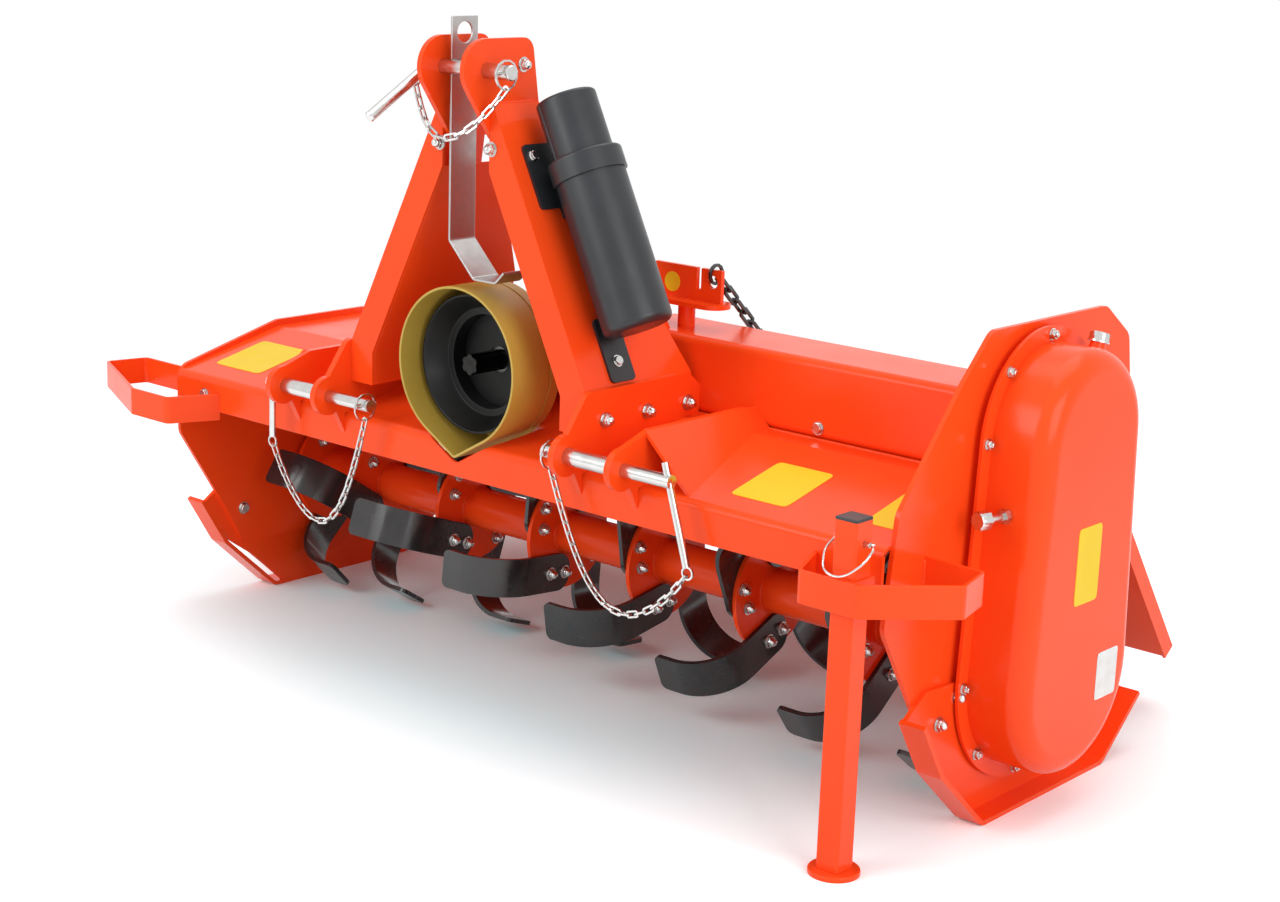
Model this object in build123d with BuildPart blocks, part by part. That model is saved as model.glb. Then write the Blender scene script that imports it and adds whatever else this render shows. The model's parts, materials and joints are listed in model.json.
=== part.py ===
from build123d import *
import math
import os

os.makedirs("parts", exist_ok=True)

# A tractor-mounted rotary tiller, parked on its stand and its two skids.
# X runs across the machine from the middle of the hitch, Y runs back and Z runs up from the ground.
# Depths are measured back from the face of the hood's front lip.
lip_y = -403.0

# Hood: one bent sheet between two end plates
left_inner = -745.0
right_inner = 870.0
plate = 8.0
sheet = 6.0
sheet_bend = 14.0
lip_bottom = 416.0
lip_top = 477.0
roof_z = 533.0
roof_setback = 45.0
roof_end_depth = 470.0
tail_gap = 30.0
tail_drop = 78.0
corner_radius = 30.0

# End plates
plate_rise = 12.0
plate_front_depth = 2.0
plate_chin_z = 356.0
plate_nose_depth = 110.0
plate_nose_z = 183.0
plate_foot_z = 110.0
plate_foot_front_depth = 150.0
plate_foot_rear_depth = 640.0
plate_heel_z = 300.0
plate_rear_margin = 53.0
plate_rear_drop = 10.0
hump_top = 768.0
hump_front_depth = 24.0
hump_front_z = 527.0
hump_shoulder_depth = 166.0
hump_shoulder_drop = 73.0
hump_crown_front_depth = 240.0
hump_crown_rear_depth = 570.0
hump_rear_margin = 2.0
hump_rear_drop = 55.0

# Skids
runner_width = 45.0
runner = 8.0
skid_plate = 8.0
skid_front_depth = 55.0
skid_rear_depth = 712.0
skid_land_front = 235.0
skid_land_rear = 600.0
skid_tip_z = 205.0
skid_tip_run = 57.0
skid_tip_drop = 93.0
skid_tail_z = 95.0
skid_gap = 63.0
skid_gap_rise = 82.0
skid_gap_run = 20.0
skid_top_rise = 35.0
skid_seat = 7.0
skid_tail_height = 40.0
skid_relief_radius = 180.0

# Rotor
rotor_depth = 371.0
rotor_z = 230.0
swing_radius = 223.0
rotor_tube = 76.0
stub = 50.0
running_clearance = 0.05
flange_diameter = 208.0
flange = 8.0
first_flange_x = -560.0
flange_pitch = 239.0
flange_count = 6
end_flange_gap = 19.0
bearing_depth = 36.0
bearing_base = 150.0
bearing_boss = 104.0
bearing_flange = 12.0
bearing_edge = 10.0

# Blades
blade = 8.0
blade_width = 70.0
blade_reach = 132.0
blade_bend = 90.0
blade_root_radius = 78.0
blade_tail = 33.0
blade_root_corner = 30.0
blade_tip_corner = 12.0
blade_lean_angle = 66.0
first_blade_turn = 123.0
blade_lag_angle = 14.0

# Chain case
case_top_z = 595.0
case_top_radius = 167.0
case_bottom_radius = 187.0
case_spacer = 12.0
case_flange = 6.0
case_inset = 24.0
cover_depth = 98.0
cover_edge = 34.0
cover_wall = 5.0

# Gearbox, cross-shaft beam and power input
gearbox_left = -100.0
gearbox_right = 112.0
gearbox_rear_depth = 415.0
gearbox_top = 690.0
gearbox_edge = 15.0
bearing_cap_diameter = 124.0
bearing_cap = 14.0
filler_diameter = 34.0
filler_height = 16.0
beam_front_depth = 285.0
beam_rear_depth = 435.0
beam_top = 661.0
beam_wall = 8.0
input_z = 603.0
input_diameter = 35.0
input_tip_depth = 30.0
spline_count = 6
spline_width = 9.0
spline_depth = 2.5
spline_length = 76.0
neck_diameter = 130.0
neck_flange_diameter = 180.0
neck_flange = 12.0

# Guard round the input
guard_radius = 135.0
guard_front_depth = -4.0
guard_back_depth = 106.0
guard_wall = 4.0
guard_point_z = 449.0
guard_point_radius = 10.0
guard_slack = 8.0
groove_depth = 1.6
groove_width = 5.0
groove_from_back = 26.0
cone_front_depth = 34.0
cone_front_radius = 118.0
cone_step_depth = 74.0
cone_step_radius = 96.0
cone_neck_radius = 84.0

# Hitch lugs and pins
lower_pin_half_spread = 341.5
lower_pin_depth = -36.0
lower_pin_z = 512.0
lug_gap = 106.0
lug = 12.0
lug_radius = 34.0
lug_toe_rise = 26.0
lug_corner = 24.0
inner_lug_rise = 4.0
inner_lug_front_depth = 8.0
inner_lug_notch = 24.0
inner_lug_slant = 30.0
ridge_z = 566.0
ridge_front_depth = 24.0
gusset_reach = 96.0
gusset_sheet = 6.0
lower_pin = 22.0
lower_bush = 28.0
lower_pin_length = 265.0
right_pin_inner_x = 239.0
left_pin_inner_x = 170.0
pin_clearance = 0.1
handle = 12.0
right_handle_rise = 30.0
right_handle_length = 134.0
right_handle_angle = 17.8
left_handle_length = 100.0
top_pin_z = 1093.0
top_pin_depth = 5.0
top_pin = 25.0
top_pin_left = -86.0
top_pin_right = 112.0
top_handle_length = 150.0
top_handle_angle = 24.0
ear = 10.0
ear_gap = 88.0
ear_radius = 50.0
ear_back = 84.0
ear_corner = 24.0
ear_tail_drop = 92.0

# Retaining chains and linch pins
link_wire = 3.0
link_width = 12.0
link_gap = 0.8
ring_sides = 12
eye_radius = 11.0
linch_pin = 8.0
linch_inset = 14.0
linch_ring_radius = 24.0
linch_drop = 4.0
top_eye_along = 30.0
slack_steepness = 2.0
taut_steepness = 1.0
right_link_count = 24
right_chain_run = 173.0
left_link_count = 22
left_chain_run = 137.0
lower_chain_drop = 230.0
top_link_count = 13
top_chain_run = 66.0
top_chain_drop = 108.0
top_chain_forward = 10.0

# Tower legs
leg_sheet = 6.0
leg_flange_width = 54.0
leg_front_depth = 14.0
leg_foot_gap = 9.0
leg_top_depth = 106.0
leg_knee_z = 603.0
leg_top_drop = 53.0

# End guard loops and parking stand
loop_bar = 6.0
loop_height = 50.0
loop_top = 451.0
loop_bend = 14.0
loop_front_depth = -92.0
loop_root_in = 134.0
loop_front_in = 90.0
loop_front_out = 16.0
loop_shoulder_depth = 18.0
loop_back_depth = 102.0
loop_back_in = 20.0
loop_root_depth = 10.0
right_loop_reach = 122.0
left_loop_reach = 247.0
stand_inset = 18.0
stand_tube = 40.0
stand_wall = 4.0
stand_top = 535.0
stand_slack = 0.3
sleeve_wall = 4.0
foot_diameter = 78.0
foot = 8.0
foot_edge = 3.0
lock_pin = 8.0
lock_pin_length = 60.0
lock_pin_from_top = 33.0

# Rear board
hinge_depth = 652.0
hinge_z = 440.0
hinge_rod = 16.0
knuckle_wall = 6.0
knuckle_length = 90.0
knuckle_count = 5
board_angle = 37.3
board_length = 437.0
board_sheet = 5.0
board_gap = 10.0
board_lip = 30.0
board_lug = 6.0
board_lug_along = 300.0
board_lug_out = 88.0
board_lug_base = 110.0
board_lug_radius = 18.0
board_lug_hole = 9.0

# Bracket on the beam and the chain that holds up the rear board
bracket_x = 200.0
bracket_depth = 350.0
bracket_sheet = 8.0
bracket_width = 146.0
bracket_shelf_z = 700.0
bracket_top = 764.0
bracket_tab = 14.0
bracket_slot = 10.0
bracket_slot_depth = 36.0
bracket_hole = 11.0
bracket_hole_inset = 54.0
bracket_hole_drop = 21.0
post = 30.0
board_link_wire = 5.0
board_link_width = 20.0
board_link_count = 23
board_ring_radius = 18.0

# Document tube
tube_diameter = 116.0
tube_length = 394.0
tube_cap = 100.0
tube_cap_length = 137.0
tube_collar = 124.0
tube_collar_length = 38.0
tube_edge = 14.0
cap_edge = 6.0
tube_depth = 107.0
tube_top_inset = 20.0
tube_clip = 11.0
clip_gap = 0.3
clip_pad = 34.0
clip_foot = 5.0
clip_corner = 8.0
lower_clip_reach = 74.0
lower_clip_width = 57.0
upper_clip_reach = 45.0
upper_clip_width = 110.0
upper_clip_shift = 55.0
clip_from_bottom = 24.0
clip_from_cap = 26.0

# Hook strip for the drive shaft
hook_x = -20.0
hook_width = 58.0
hook_strip = 4.0
hook_rise = 81.0
hook_gap = 19.0
hook_slope = 56.0
hook_flat = 48.0
hook_tip = 18.0
hook_hole = 34.0
hook_hole_drop = 26.0


def back(depth):
    """Y of a point this far behind the front lip."""
    return lip_y + depth


def side_view(points):
    """Turn (depth, height) pairs into points of a side-view sketch."""
    return [(back(depth), height) for depth, height in points]


def outline(points):
    """A flat face with straight sides."""
    with BuildSketch() as face:
        with BuildLine():
            Polyline(*points, close=True)
        make_face()
    return face.sketch


def band(points, thickness, bend, side=Side.RIGHT):
    """A bent strip: a path with rounded bends, thickened to one side."""
    with BuildSketch() as flat:
        with BuildLine():
            FilletPolyline(*points, radius=bend)
            offset(amount=thickness, side=side)
        make_face()
    return flat.sketch


def mirrored(part, middle=0.0):
    """The same piece for the other side of the machine."""
    return mirror(part, about=Plane.YZ.offset(middle))


def guard_face():
    """The input guard's mouth: a circle drawn down to a soft point."""
    with BuildSketch() as face:
        with Locations((0, input_z)):
            Circle(guard_radius)
        with Locations((0, guard_point_z + guard_point_radius)):
            Circle(guard_point_radius)
        make_hull()
    return face.sketch


def case_face(inset):
    """The chain case's outline: a hull round its two shafts."""
    with BuildSketch() as face:
        with Locations((rotor_y, rotor_z)):
            Circle(case_bottom_radius - inset)
        with Locations((rotor_y, case_top_z)):
            Circle(case_top_radius - inset)
        make_hull()
    return face.sketch


def ring_face(radius, wire):
    """A many-sided ring of square wire, seen along its axis, with a flat at its lowest point."""
    half_side = 180 / ring_sides
    with BuildSketch() as face:
        RegularPolygon(radius, ring_sides, major_radius=False, rotation=half_side)
        RegularPolygon(radius - wire, ring_sides, major_radius=False, rotation=half_side, mode=Mode.SUBTRACT)
    return face.sketch


def leaving(ring, low, steepness):
    """Direction in which a chain leaves a ring on its way to its lowest point."""
    away = low - ring
    return Vector(away.X, away.Y, away.Z * steepness).normalized()


def chain_links(points, side, count, first_turn, wire, width, steepness):
    """Links hung along a smooth line from ring to ring, each turned a quarter round from the last."""
    first, low, last = points
    overlap = (wire + link_gap) / 2
    start_way = leaving(first, low, steepness)
    stop_way = leaving(last, low, steepness)
    with BuildLine() as hang:
        Spline(first - start_way * overlap, low, last - stop_way * overlap, tangents=(start_way, -stop_way))
    line = hang.edge()
    pitch = line.length / count
    with BuildPart() as link:
        with BuildSketch() as face:
            Rectangle(pitch + 2 * wire + link_gap, width)
            chamfer(face.vertices(), wire)
            offset(amount=-wire, mode=Mode.SUBTRACT)
        extrude(amount=wire / 2, both=True)
    places = []
    for number in range(count):
        start = line @ (number / count)
        stop = line @ ((number + 1) / count)
        along = (stop - start).normalized()
        facing = along.cross(side)
        if (number + first_turn) % 2:
            facing = along.cross(facing)
        places.append(Plane(origin=(start + stop) / 2, x_dir=along, z_dir=facing))
    with BuildPart() as links:
        with Locations(*places):
            add(link.part)
    return links.part


rotor_y = back(rotor_depth)
left_outer = left_inner - plate
right_outer = right_inner + plate
plates_middle = (left_outer + right_outer) / 2
tail_end_depth = hinge_depth - tail_gap
plate_rear_depth = hinge_depth + plate_rear_margin
leg_top_z = top_pin_z - leg_top_drop
slope_depth = beam_front_depth - roof_setback
leg_foot_depth = beam_front_depth - leg_foot_gap - leg_front_depth
nodes = {}

# Hood deck: lip, slope, flat roof and tail, notched round the input guard
deck_line = [
    (0, lip_bottom),
    (0, lip_top),
    (slope_depth, roof_z),
    (roof_end_depth, roof_z),
    (tail_end_depth, roof_z - tail_drop),
]
with BuildPart() as hood_deck:
    with BuildSketch(Plane.YZ.offset(left_inner)):
        add(band(side_view(deck_line), sheet, sheet_bend))
    extrude(amount=right_inner - left_inner)
    with BuildSketch(Plane.XZ.offset(-back(guard_front_depth))):
        add(offset(guard_face(), amount=guard_slack, mode=Mode.PRIVATE))
    extrude(amount=-(guard_back_depth - guard_front_depth + guard_slack), mode=Mode.SUBTRACT)
nodes["hood_deck"] = hood_deck.part

# End plates: the same lower outline, the right one with a hump behind the chain case
foot_outline = [
    (plate_rear_depth, hinge_z - plate_rear_drop),
    (plate_rear_depth, plate_heel_z),
    (plate_foot_rear_depth, plate_foot_z),
    (plate_foot_front_depth, plate_foot_z),
    (plate_nose_depth, plate_nose_z),
    (plate_front_depth, plate_chin_z),
]
left_outline = [
    (plate_front_depth, lip_top + plate_rise / 2),
    (slope_depth, roof_z + plate_rise),
    (roof_end_depth, roof_z + plate_rise),
]
right_outline = [
    (hump_front_depth, hump_front_z),
    (hump_shoulder_depth, hump_top - hump_shoulder_drop),
    (hump_crown_front_depth, hump_top),
    (hump_crown_rear_depth, hump_top),
    (hinge_depth - hump_rear_margin, hump_top - hump_rear_drop),
]


def end_plate(top_outline, inner_x, away):
    """A flat end plate with rounded corners and the bore that carries the rotor's stub."""
    with BuildPart() as end:
        with BuildSketch(Plane.YZ.offset(inner_x)) as face:
            add(outline(side_view(top_outline + foot_outline)))
            fillet(face.vertices(), corner_radius)
            with Locations((rotor_y, rotor_z)):
                Circle(stub / 2 + running_clearance, mode=Mode.SUBTRACT)
        extrude(amount=away * plate)
    return end.part


nodes["left_end_plate"] = end_plate(left_outline, left_inner, -1)
nodes["right_end_plate"] = end_plate(right_outline, right_inner, 1)

# Skids: a bent runner under a plate that is cut clear of the chain case
runner_line = [
    (skid_front_depth, skid_tip_z),
    (skid_front_depth + skid_tip_run, skid_tip_z - skid_tip_drop),
    (skid_land_front, 0),
    (skid_land_rear, 0),
    (skid_rear_depth, skid_tail_z),
]
skid_outline = [
    (skid_front_depth + skid_seat, skid_tip_z),
    (skid_front_depth + skid_tip_run + skid_seat, skid_tip_z - skid_tip_drop + skid_seat),
    (skid_land_front - skid_gap, skid_gap_rise),
    (skid_land_front + skid_gap_run, runner),
    (skid_land_rear, runner),
    (skid_rear_depth - skid_seat, skid_tail_z + skid_seat),
    (skid_rear_depth - 3 * skid_seat, skid_tail_z + skid_tail_height),
    (skid_land_rear, skid_tip_z + skid_seat),
    (skid_front_depth + skid_tip_run, skid_tip_z + skid_top_rise),
]
with BuildPart() as right_skid:
    with BuildSketch(Plane.YZ.offset(right_outer)):
        add(band(side_view(runner_line), runner, corner_radius, Side.LEFT))
    extrude(amount=runner_width)
    with BuildSketch(Plane.YZ.offset(right_outer)):
        add(outline(side_view(skid_outline)))
        with Locations((rotor_y, rotor_z)):
            Circle(skid_relief_radius, mode=Mode.SUBTRACT)
    extrude(amount=skid_plate)
nodes["right_skid"] = right_skid.part
nodes["left_skid"] = mirrored(right_skid.part, plates_middle)

# Rotor: a tube with welded flanges and a stub at each end
tube_left = left_inner + end_flange_gap / 2
tube_right = right_inner - end_flange_gap / 2
left_end_flange = left_inner + end_flange_gap + flange / 2
right_end_flange = right_inner - end_flange_gap - flange / 2
inner_flanges = [first_flange_x + flange_pitch * i for i in range(flange_count)]
with BuildPart() as rotor_tube_part:
    with BuildSketch(Plane.YZ.offset(tube_left)):
        with Locations((rotor_y, rotor_z)):
            Circle(rotor_tube / 2)
    extrude(amount=tube_right - tube_left)
    with BuildSketch(Plane.YZ.offset(left_outer - bearing_depth)):
        with Locations((rotor_y, rotor_z)):
            Circle(stub / 2)
    extrude(amount=right_outer + case_spacer - left_outer + bearing_depth)
    for flange_x in [left_end_flange, *inner_flanges, right_end_flange]:
        with BuildSketch(Plane.YZ.offset(flange_x - flange / 2)):
            with Locations((rotor_y, rotor_z)):
                Circle(flange_diameter / 2)
        extrude(amount=flange)
nodes["rotor_tube"] = rotor_tube_part.part

# Blades: L-shaped, leaning back from their roots, so that the leading corner sweeps the widest circle.
# The shank's length follows from that circle, its root's radius and its lean.
# A left-hand blade is bolted to a flange's right face and bends to the left outside the flange's rim.
blade_lean = math.radians(blade_lean_angle)
half_blade = blade_width / 2
root_run = blade_root_radius * math.cos(blade_lean)
root_reach = half_blade**2 + blade_root_radius**2
root_reach += 2 * blade_root_radius * half_blade * math.sin(blade_lean)
shank_length = math.sqrt(root_run**2 - root_reach + swing_radius**2) - root_run
blade_face = flange / 2 + blade
blade_line = [
    (blade_face, -blade_tail),
    (blade_face, shank_length),
    (blade_face - blade_reach, shank_length),
]
with BuildPart() as left_hand_blade:
    with BuildSketch(Plane.XZ):
        add(band(blade_line, blade, blade_bend, Side.LEFT))
    extrude(amount=half_blade, both=True)
    fillet(left_hand_blade.edges().filter_by(Axis.X).group_by(Axis.Z)[0], blade_root_corner)
    fillet(left_hand_blade.edges().filter_by(Axis.Z).group_by(Axis.X)[0], blade_tip_corner)


def blade_seats(flanges, first_turn):
    """Places of two opposite blades on each flange, each flange a little further round."""
    root = Location((0, 0, blade_root_radius), (-blade_lean_angle, 0, 0))
    seats = []
    for number, flange_x in flanges:
        for half_turn in (0, 180):
            turn = first_turn + blade_lag_angle * number + half_turn
            seats.append(Location((flange_x, rotor_y, rotor_z), (turn, 0, 0)) * root)
    return seats


numbered = list(enumerate(inner_flanges))
quarter_turn = 90
right_hand_blade = mirrored(left_hand_blade.part)
with BuildPart() as left_blades:
    with Locations(*blade_seats(numbered + [(flange_count, right_end_flange)], first_blade_turn)):
        add(left_hand_blade.part)
with BuildPart() as right_blades:
    with Locations(*blade_seats([(-1, left_end_flange)] + numbered, first_blade_turn + quarter_turn)):
        add(right_hand_blade)
nodes["left_hand_blades"] = left_blades.part
nodes["right_hand_blades"] = right_blades.part

# Bearing housing on the left end plate
with BuildPart() as left_bearing:
    with BuildSketch(Plane.YZ.offset(left_outer)):
        with Locations((rotor_y, rotor_z)):
            Circle(bearing_base / 2)
    extrude(amount=-bearing_flange)
    with BuildSketch(Plane.YZ.offset(left_outer)):
        with Locations((rotor_y, rotor_z)):
            Circle(bearing_boss / 2)
    extrude(amount=-(bearing_depth + bearing_flange))
    fillet(left_bearing.faces().sort_by(Axis.X)[0].edges(), bearing_edge)
    with BuildSketch(Plane.YZ.offset(left_outer)):
        with Locations((rotor_y, rotor_z)):
            Circle(stub / 2 + running_clearance)
    extrude(amount=-(bearing_depth + running_clearance), mode=Mode.SUBTRACT)
nodes["left_bearing"] = left_bearing.part

# Chain case: a spacer and flange on the end plate, and a deep pressed cover that is hollow inside
with BuildPart() as chain_case_flange:
    with BuildSketch(Plane.YZ.offset(right_outer)):
        add(case_face(case_inset))
    extrude(amount=case_spacer)
    with BuildSketch(Plane.YZ.offset(right_outer + case_spacer)):
        add(case_face(0))
    extrude(amount=case_flange)
    with BuildSketch(Plane.YZ.offset(right_outer)):
        with Locations((rotor_y, rotor_z)):
            Circle(stub / 2 + running_clearance)
    extrude(amount=case_spacer + case_flange / 2, mode=Mode.SUBTRACT)
nodes["chain_case_flange"] = chain_case_flange.part

cover_x = right_outer + case_spacer + case_flange
with BuildPart() as chain_case_cover:
    with BuildSketch(Plane.YZ.offset(cover_x)):
        add(case_face(case_inset))
    extrude(amount=cover_depth)
    fillet(chain_case_cover.faces().sort_by(Axis.X)[-1].edges(), cover_edge)
    with BuildSketch(Plane.YZ.offset(cover_x)):
        add(case_face(case_inset + cover_wall))
    extrude(amount=cover_depth - cover_edge, mode=Mode.SUBTRACT)
nodes["chain_case_cover"] = chain_case_cover.part

# Gearbox with its input neck, a bearing cap on its blind side and a filler on top
gearbox_middle_depth = (beam_front_depth + beam_rear_depth) / 2
with BuildPart() as gearbox:
    with BuildSketch(Plane.XY.offset(roof_z)):
        add(
            outline(
                [
                    (gearbox_left, back(slope_depth)),
                    (gearbox_right, back(slope_depth)),
                    (gearbox_right, back(gearbox_rear_depth)),
                    (gearbox_left, back(gearbox_rear_depth)),
                ]
            )
        )
    extrude(amount=gearbox_top - roof_z)
    fillet(gearbox.edges().filter_by(Axis.Z), corner_radius)
    fillet(gearbox.faces().sort_by(Axis.Z)[-1].edges(), gearbox_edge)
    with BuildSketch(Plane.XZ.offset(-back(guard_back_depth))):
        with Locations((0, input_z)):
            Circle(neck_flange_diameter / 2)
    extrude(amount=-neck_flange)
    with BuildSketch(Plane.XZ.offset(-back(guard_back_depth))):
        with Locations((0, input_z)):
            Circle(neck_diameter / 2)
    extrude(amount=-(slope_depth - guard_back_depth + corner_radius))
    with BuildSketch(Plane.YZ.offset(gearbox_left - bearing_cap)):
        with Locations((back(gearbox_middle_depth), input_z)):
            Circle(bearing_cap_diameter / 2)
    extrude(amount=bearing_cap + corner_radius)
    with BuildSketch(Plane.XY.offset(gearbox_top - gearbox_edge)):
        with Locations((0, back(gearbox_middle_depth))):
            Circle(filler_diameter / 2)
    extrude(amount=gearbox_edge + filler_height)
    with BuildSketch(Plane.XZ.offset(-back(guard_back_depth))):
        with Locations((0, input_z)):
            Circle(input_diameter / 2 + running_clearance)
    extrude(amount=-(slope_depth - guard_back_depth), mode=Mode.SUBTRACT)
nodes["gearbox"] = gearbox.part

# Box beam round the cross shaft
beam_section = [
    (beam_front_depth, roof_z),
    (beam_front_depth, beam_top),
    (beam_rear_depth, beam_top),
    (beam_rear_depth, roof_z),
]
with BuildPart() as drive_beam:
    with BuildSketch(Plane.YZ.offset(gearbox_right)) as section:
        add(outline(side_view(beam_section)))
        fillet(section.vertices().group_by(Axis.Z)[-1], sheet_bend)
        offset(amount=-beam_wall, mode=Mode.SUBTRACT)
    extrude(amount=right_inner - gearbox_right)
nodes["drive_beam"] = drive_beam.part

# Splined input shaft
with BuildPart() as input_shaft:
    with BuildSketch(Plane.XZ.offset(-back(input_tip_depth))):
        with Locations((0, input_z)):
            Circle(input_diameter / 2)
    extrude(amount=-(slope_depth - input_tip_depth - running_clearance))
    with BuildSketch(Plane.XZ.offset(-back(input_tip_depth))):
        with Locations((0, input_z)):
            with PolarLocations(input_diameter / 2, spline_count):
                Rectangle(2 * spline_depth, spline_width)
    extrude(amount=-spline_length, mode=Mode.SUBTRACT)
nodes["input_shaft"] = input_shaft.part

# Yellow guard round the input, with a groove near its back, and the black bell inside it
with BuildPart() as input_guard:
    with BuildSketch(Plane.XZ.offset(-back(guard_front_depth))):
        add(guard_face())
    extrude(amount=-(guard_back_depth - guard_front_depth))
    with BuildSketch(Plane.XZ.offset(-back(guard_front_depth))):
        add(offset(guard_face(), amount=-guard_wall, mode=Mode.PRIVATE))
    extrude(amount=-(guard_back_depth - guard_front_depth - guard_wall), mode=Mode.SUBTRACT)
    with BuildSketch(Plane.XZ.offset(-back(guard_front_depth))):
        with Locations((0, input_z)):
            Circle(neck_diameter / 2)
    extrude(amount=-(guard_back_depth - guard_front_depth), mode=Mode.SUBTRACT)
    with BuildSketch(Plane.XZ.offset(-back(guard_back_depth - groove_from_back))):
        add(guard_face())
        add(offset(guard_face(), amount=-groove_depth, mode=Mode.PRIVATE), mode=Mode.SUBTRACT)
    extrude(amount=-groove_width, mode=Mode.SUBTRACT)
nodes["input_guard"] = input_guard.part

cone_back_depth = guard_back_depth - guard_wall
cone_line = [
    (cone_front_depth, input_z + cone_front_radius),
    (cone_step_depth, input_z + cone_step_radius),
    (cone_step_depth, input_z + cone_neck_radius),
    (cone_back_depth, input_z + cone_neck_radius),
    (cone_back_depth, input_z + cone_neck_radius - guard_wall),
    (cone_step_depth - guard_wall, input_z + cone_neck_radius - guard_wall),
    (cone_step_depth - guard_wall, input_z + cone_step_radius - guard_wall),
    (cone_front_depth, input_z + cone_front_radius - guard_wall),
]
with BuildPart() as input_cone:
    with BuildSketch(Plane.YZ):
        add(outline(side_view(cone_line)))
    revolve(axis=Axis((0, 0, input_z), (0, 1, 0)))
nodes["input_cone"] = input_cone.part

# Lower hitch: inner lug plates bolted to the legs, outer lugs with a sloping gusset on the deck
inner_lug_x = lower_pin_half_spread - lug_gap / 2 - lug
outer_lug_x = lower_pin_half_spread + lug_gap / 2
inner_lug_top = leg_knee_z + inner_lug_rise
lug_foot = [
    (0, lip_bottom + lug_toe_rise),
    (0, lip_top),
    (slope_depth, roof_z),
    (beam_front_depth, roof_z),
]
lug_nose = [(lower_pin_depth, lower_pin_z + lug_radius), (lower_pin_depth, lower_pin_z)]
inner_lug_crest = [
    (beam_front_depth, inner_lug_top - inner_lug_notch),
    (beam_front_depth - inner_lug_slant, inner_lug_top),
    (inner_lug_front_depth, inner_lug_top),
]
outer_lug_crest = [(beam_front_depth, ridge_z), (ridge_front_depth, ridge_z)]


def lug_plate(x, crest):
    """A lug plate that stands on the deck's slope and ends in a round lobe at the pin."""
    with BuildPart() as lug_part:
        with BuildSketch(Plane.YZ.offset(x)) as face:
            add(outline(side_view(lug_foot + crest + lug_nose)))
            fillet(face.vertices().group_by(Axis.Y)[-1], lug_corner)
            with Locations((back(lower_pin_depth), lower_pin_z)):
                Circle(lug_radius)
                Circle(lower_pin / 2 + pin_clearance, mode=Mode.SUBTRACT)
        extrude(amount=lug)
    return lug_part.part


right_inner_lug = lug_plate(inner_lug_x, inner_lug_crest)
nodes["right_inner_lug"] = right_inner_lug
nodes["left_inner_lug"] = mirrored(right_inner_lug)

# The gusset is a sheet that falls from the outer lug's ridge, trimmed where it meets the deck.
gusset_x = outer_lug_x + lug
gusset_fall = ridge_z - lip_bottom
gusset_run = gusset_reach * gusset_fall / (ridge_z - lip_top)
gusset_line = [(gusset_x, ridge_z), (gusset_x + gusset_run, lip_bottom)]
under_deck = [
    (0, plate_chin_z),
    (0, lip_top),
    (slope_depth, roof_z),
    (beam_front_depth, roof_z),
    (beam_front_depth, plate_chin_z),
]
outer_lug_plate = lug_plate(outer_lug_x, outer_lug_crest)
with BuildPart() as right_outer_lug:
    with BuildSketch(Plane.XZ.offset(-back(sheet_bend))):
        with BuildLine():
            Polyline(*gusset_line)
            offset(amount=gusset_sheet, side=Side.RIGHT)
        make_face()
    extrude(amount=-(beam_front_depth - sheet_bend))
    with BuildSketch(Plane.YZ.offset(outer_lug_x)):
        add(outline(side_view(under_deck)))
    extrude(amount=lug + gusset_run, mode=Mode.SUBTRACT)
    add(outer_lug_plate)
nodes["right_outer_lug"] = right_outer_lug.part
nodes["left_outer_lug"] = mirrored(right_outer_lug.part)

# Tower legs: a bent web with a front flange, trimmed where they meet the top ears
ear_outer = ear_gap / 2 + ear
leg_foot_x = inner_lug_x
leg_line = [(leg_foot_x, roof_z), (leg_foot_x, leg_knee_z), (ear_outer + leg_sheet, leg_top_z)]
leg_side = [
    (leg_front_depth, roof_z),
    (leg_front_depth + leg_foot_depth, roof_z),
    (leg_front_depth + leg_foot_depth, leg_knee_z),
    (leg_front_depth + leg_top_depth, leg_top_z),
    (leg_front_depth, leg_top_z),
]
leg_front = [
    (ear_outer, roof_z),
    (leg_foot_x, roof_z),
    (leg_foot_x, leg_top_z),
    (ear_outer, leg_top_z),
]
with BuildPart() as right_leg:
    with BuildSketch(Plane.XZ.offset(-back(leg_front_depth))):
        add(band(leg_line, leg_sheet, sheet_bend, Side.LEFT))
    extrude(amount=-leg_foot_depth)
    with BuildSketch(Plane.YZ.offset(ear_outer)):
        add(outline(side_view(leg_side)))
    extrude(amount=leg_foot_x, mode=Mode.INTERSECT)
    with BuildSketch(Plane.XZ.offset(-back(leg_front_depth))):
        add(band(leg_line, leg_flange_width, leg_flange_width + sheet_bend, Side.LEFT))
        add(outline(leg_front), mode=Mode.INTERSECT)
    extrude(amount=-leg_sheet)
nodes["right_leg"] = right_leg.part
nodes["left_leg"] = mirrored(right_leg.part)

# Top ears: a round lobe at the pin with a tail that reaches down behind it into the leg
with BuildPart() as right_ear:
    with BuildSketch(Plane.YZ.offset(ear_gap / 2)):
        with Locations((back(top_pin_depth), top_pin_z)):
            Circle(ear_radius)
        with Locations((back(top_pin_depth + ear_back), top_pin_z + ear_radius - ear_corner)):
            Circle(ear_corner)
        with Locations((back(leg_front_depth + leg_top_depth - ear_corner / 2), top_pin_z - ear_tail_drop)):
            Circle(ear_corner)
        with Locations((back(leg_front_depth + ear_corner), top_pin_z - ear_tail_drop)):
            Circle(ear_corner)
        make_hull()
        with Locations((back(top_pin_depth), top_pin_z)):
            Circle(top_pin / 2 + pin_clearance, mode=Mode.SUBTRACT)
    extrude(amount=ear)
nodes["right_ear"] = right_ear.part
nodes["left_ear"] = mirrored(right_ear.part)

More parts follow.
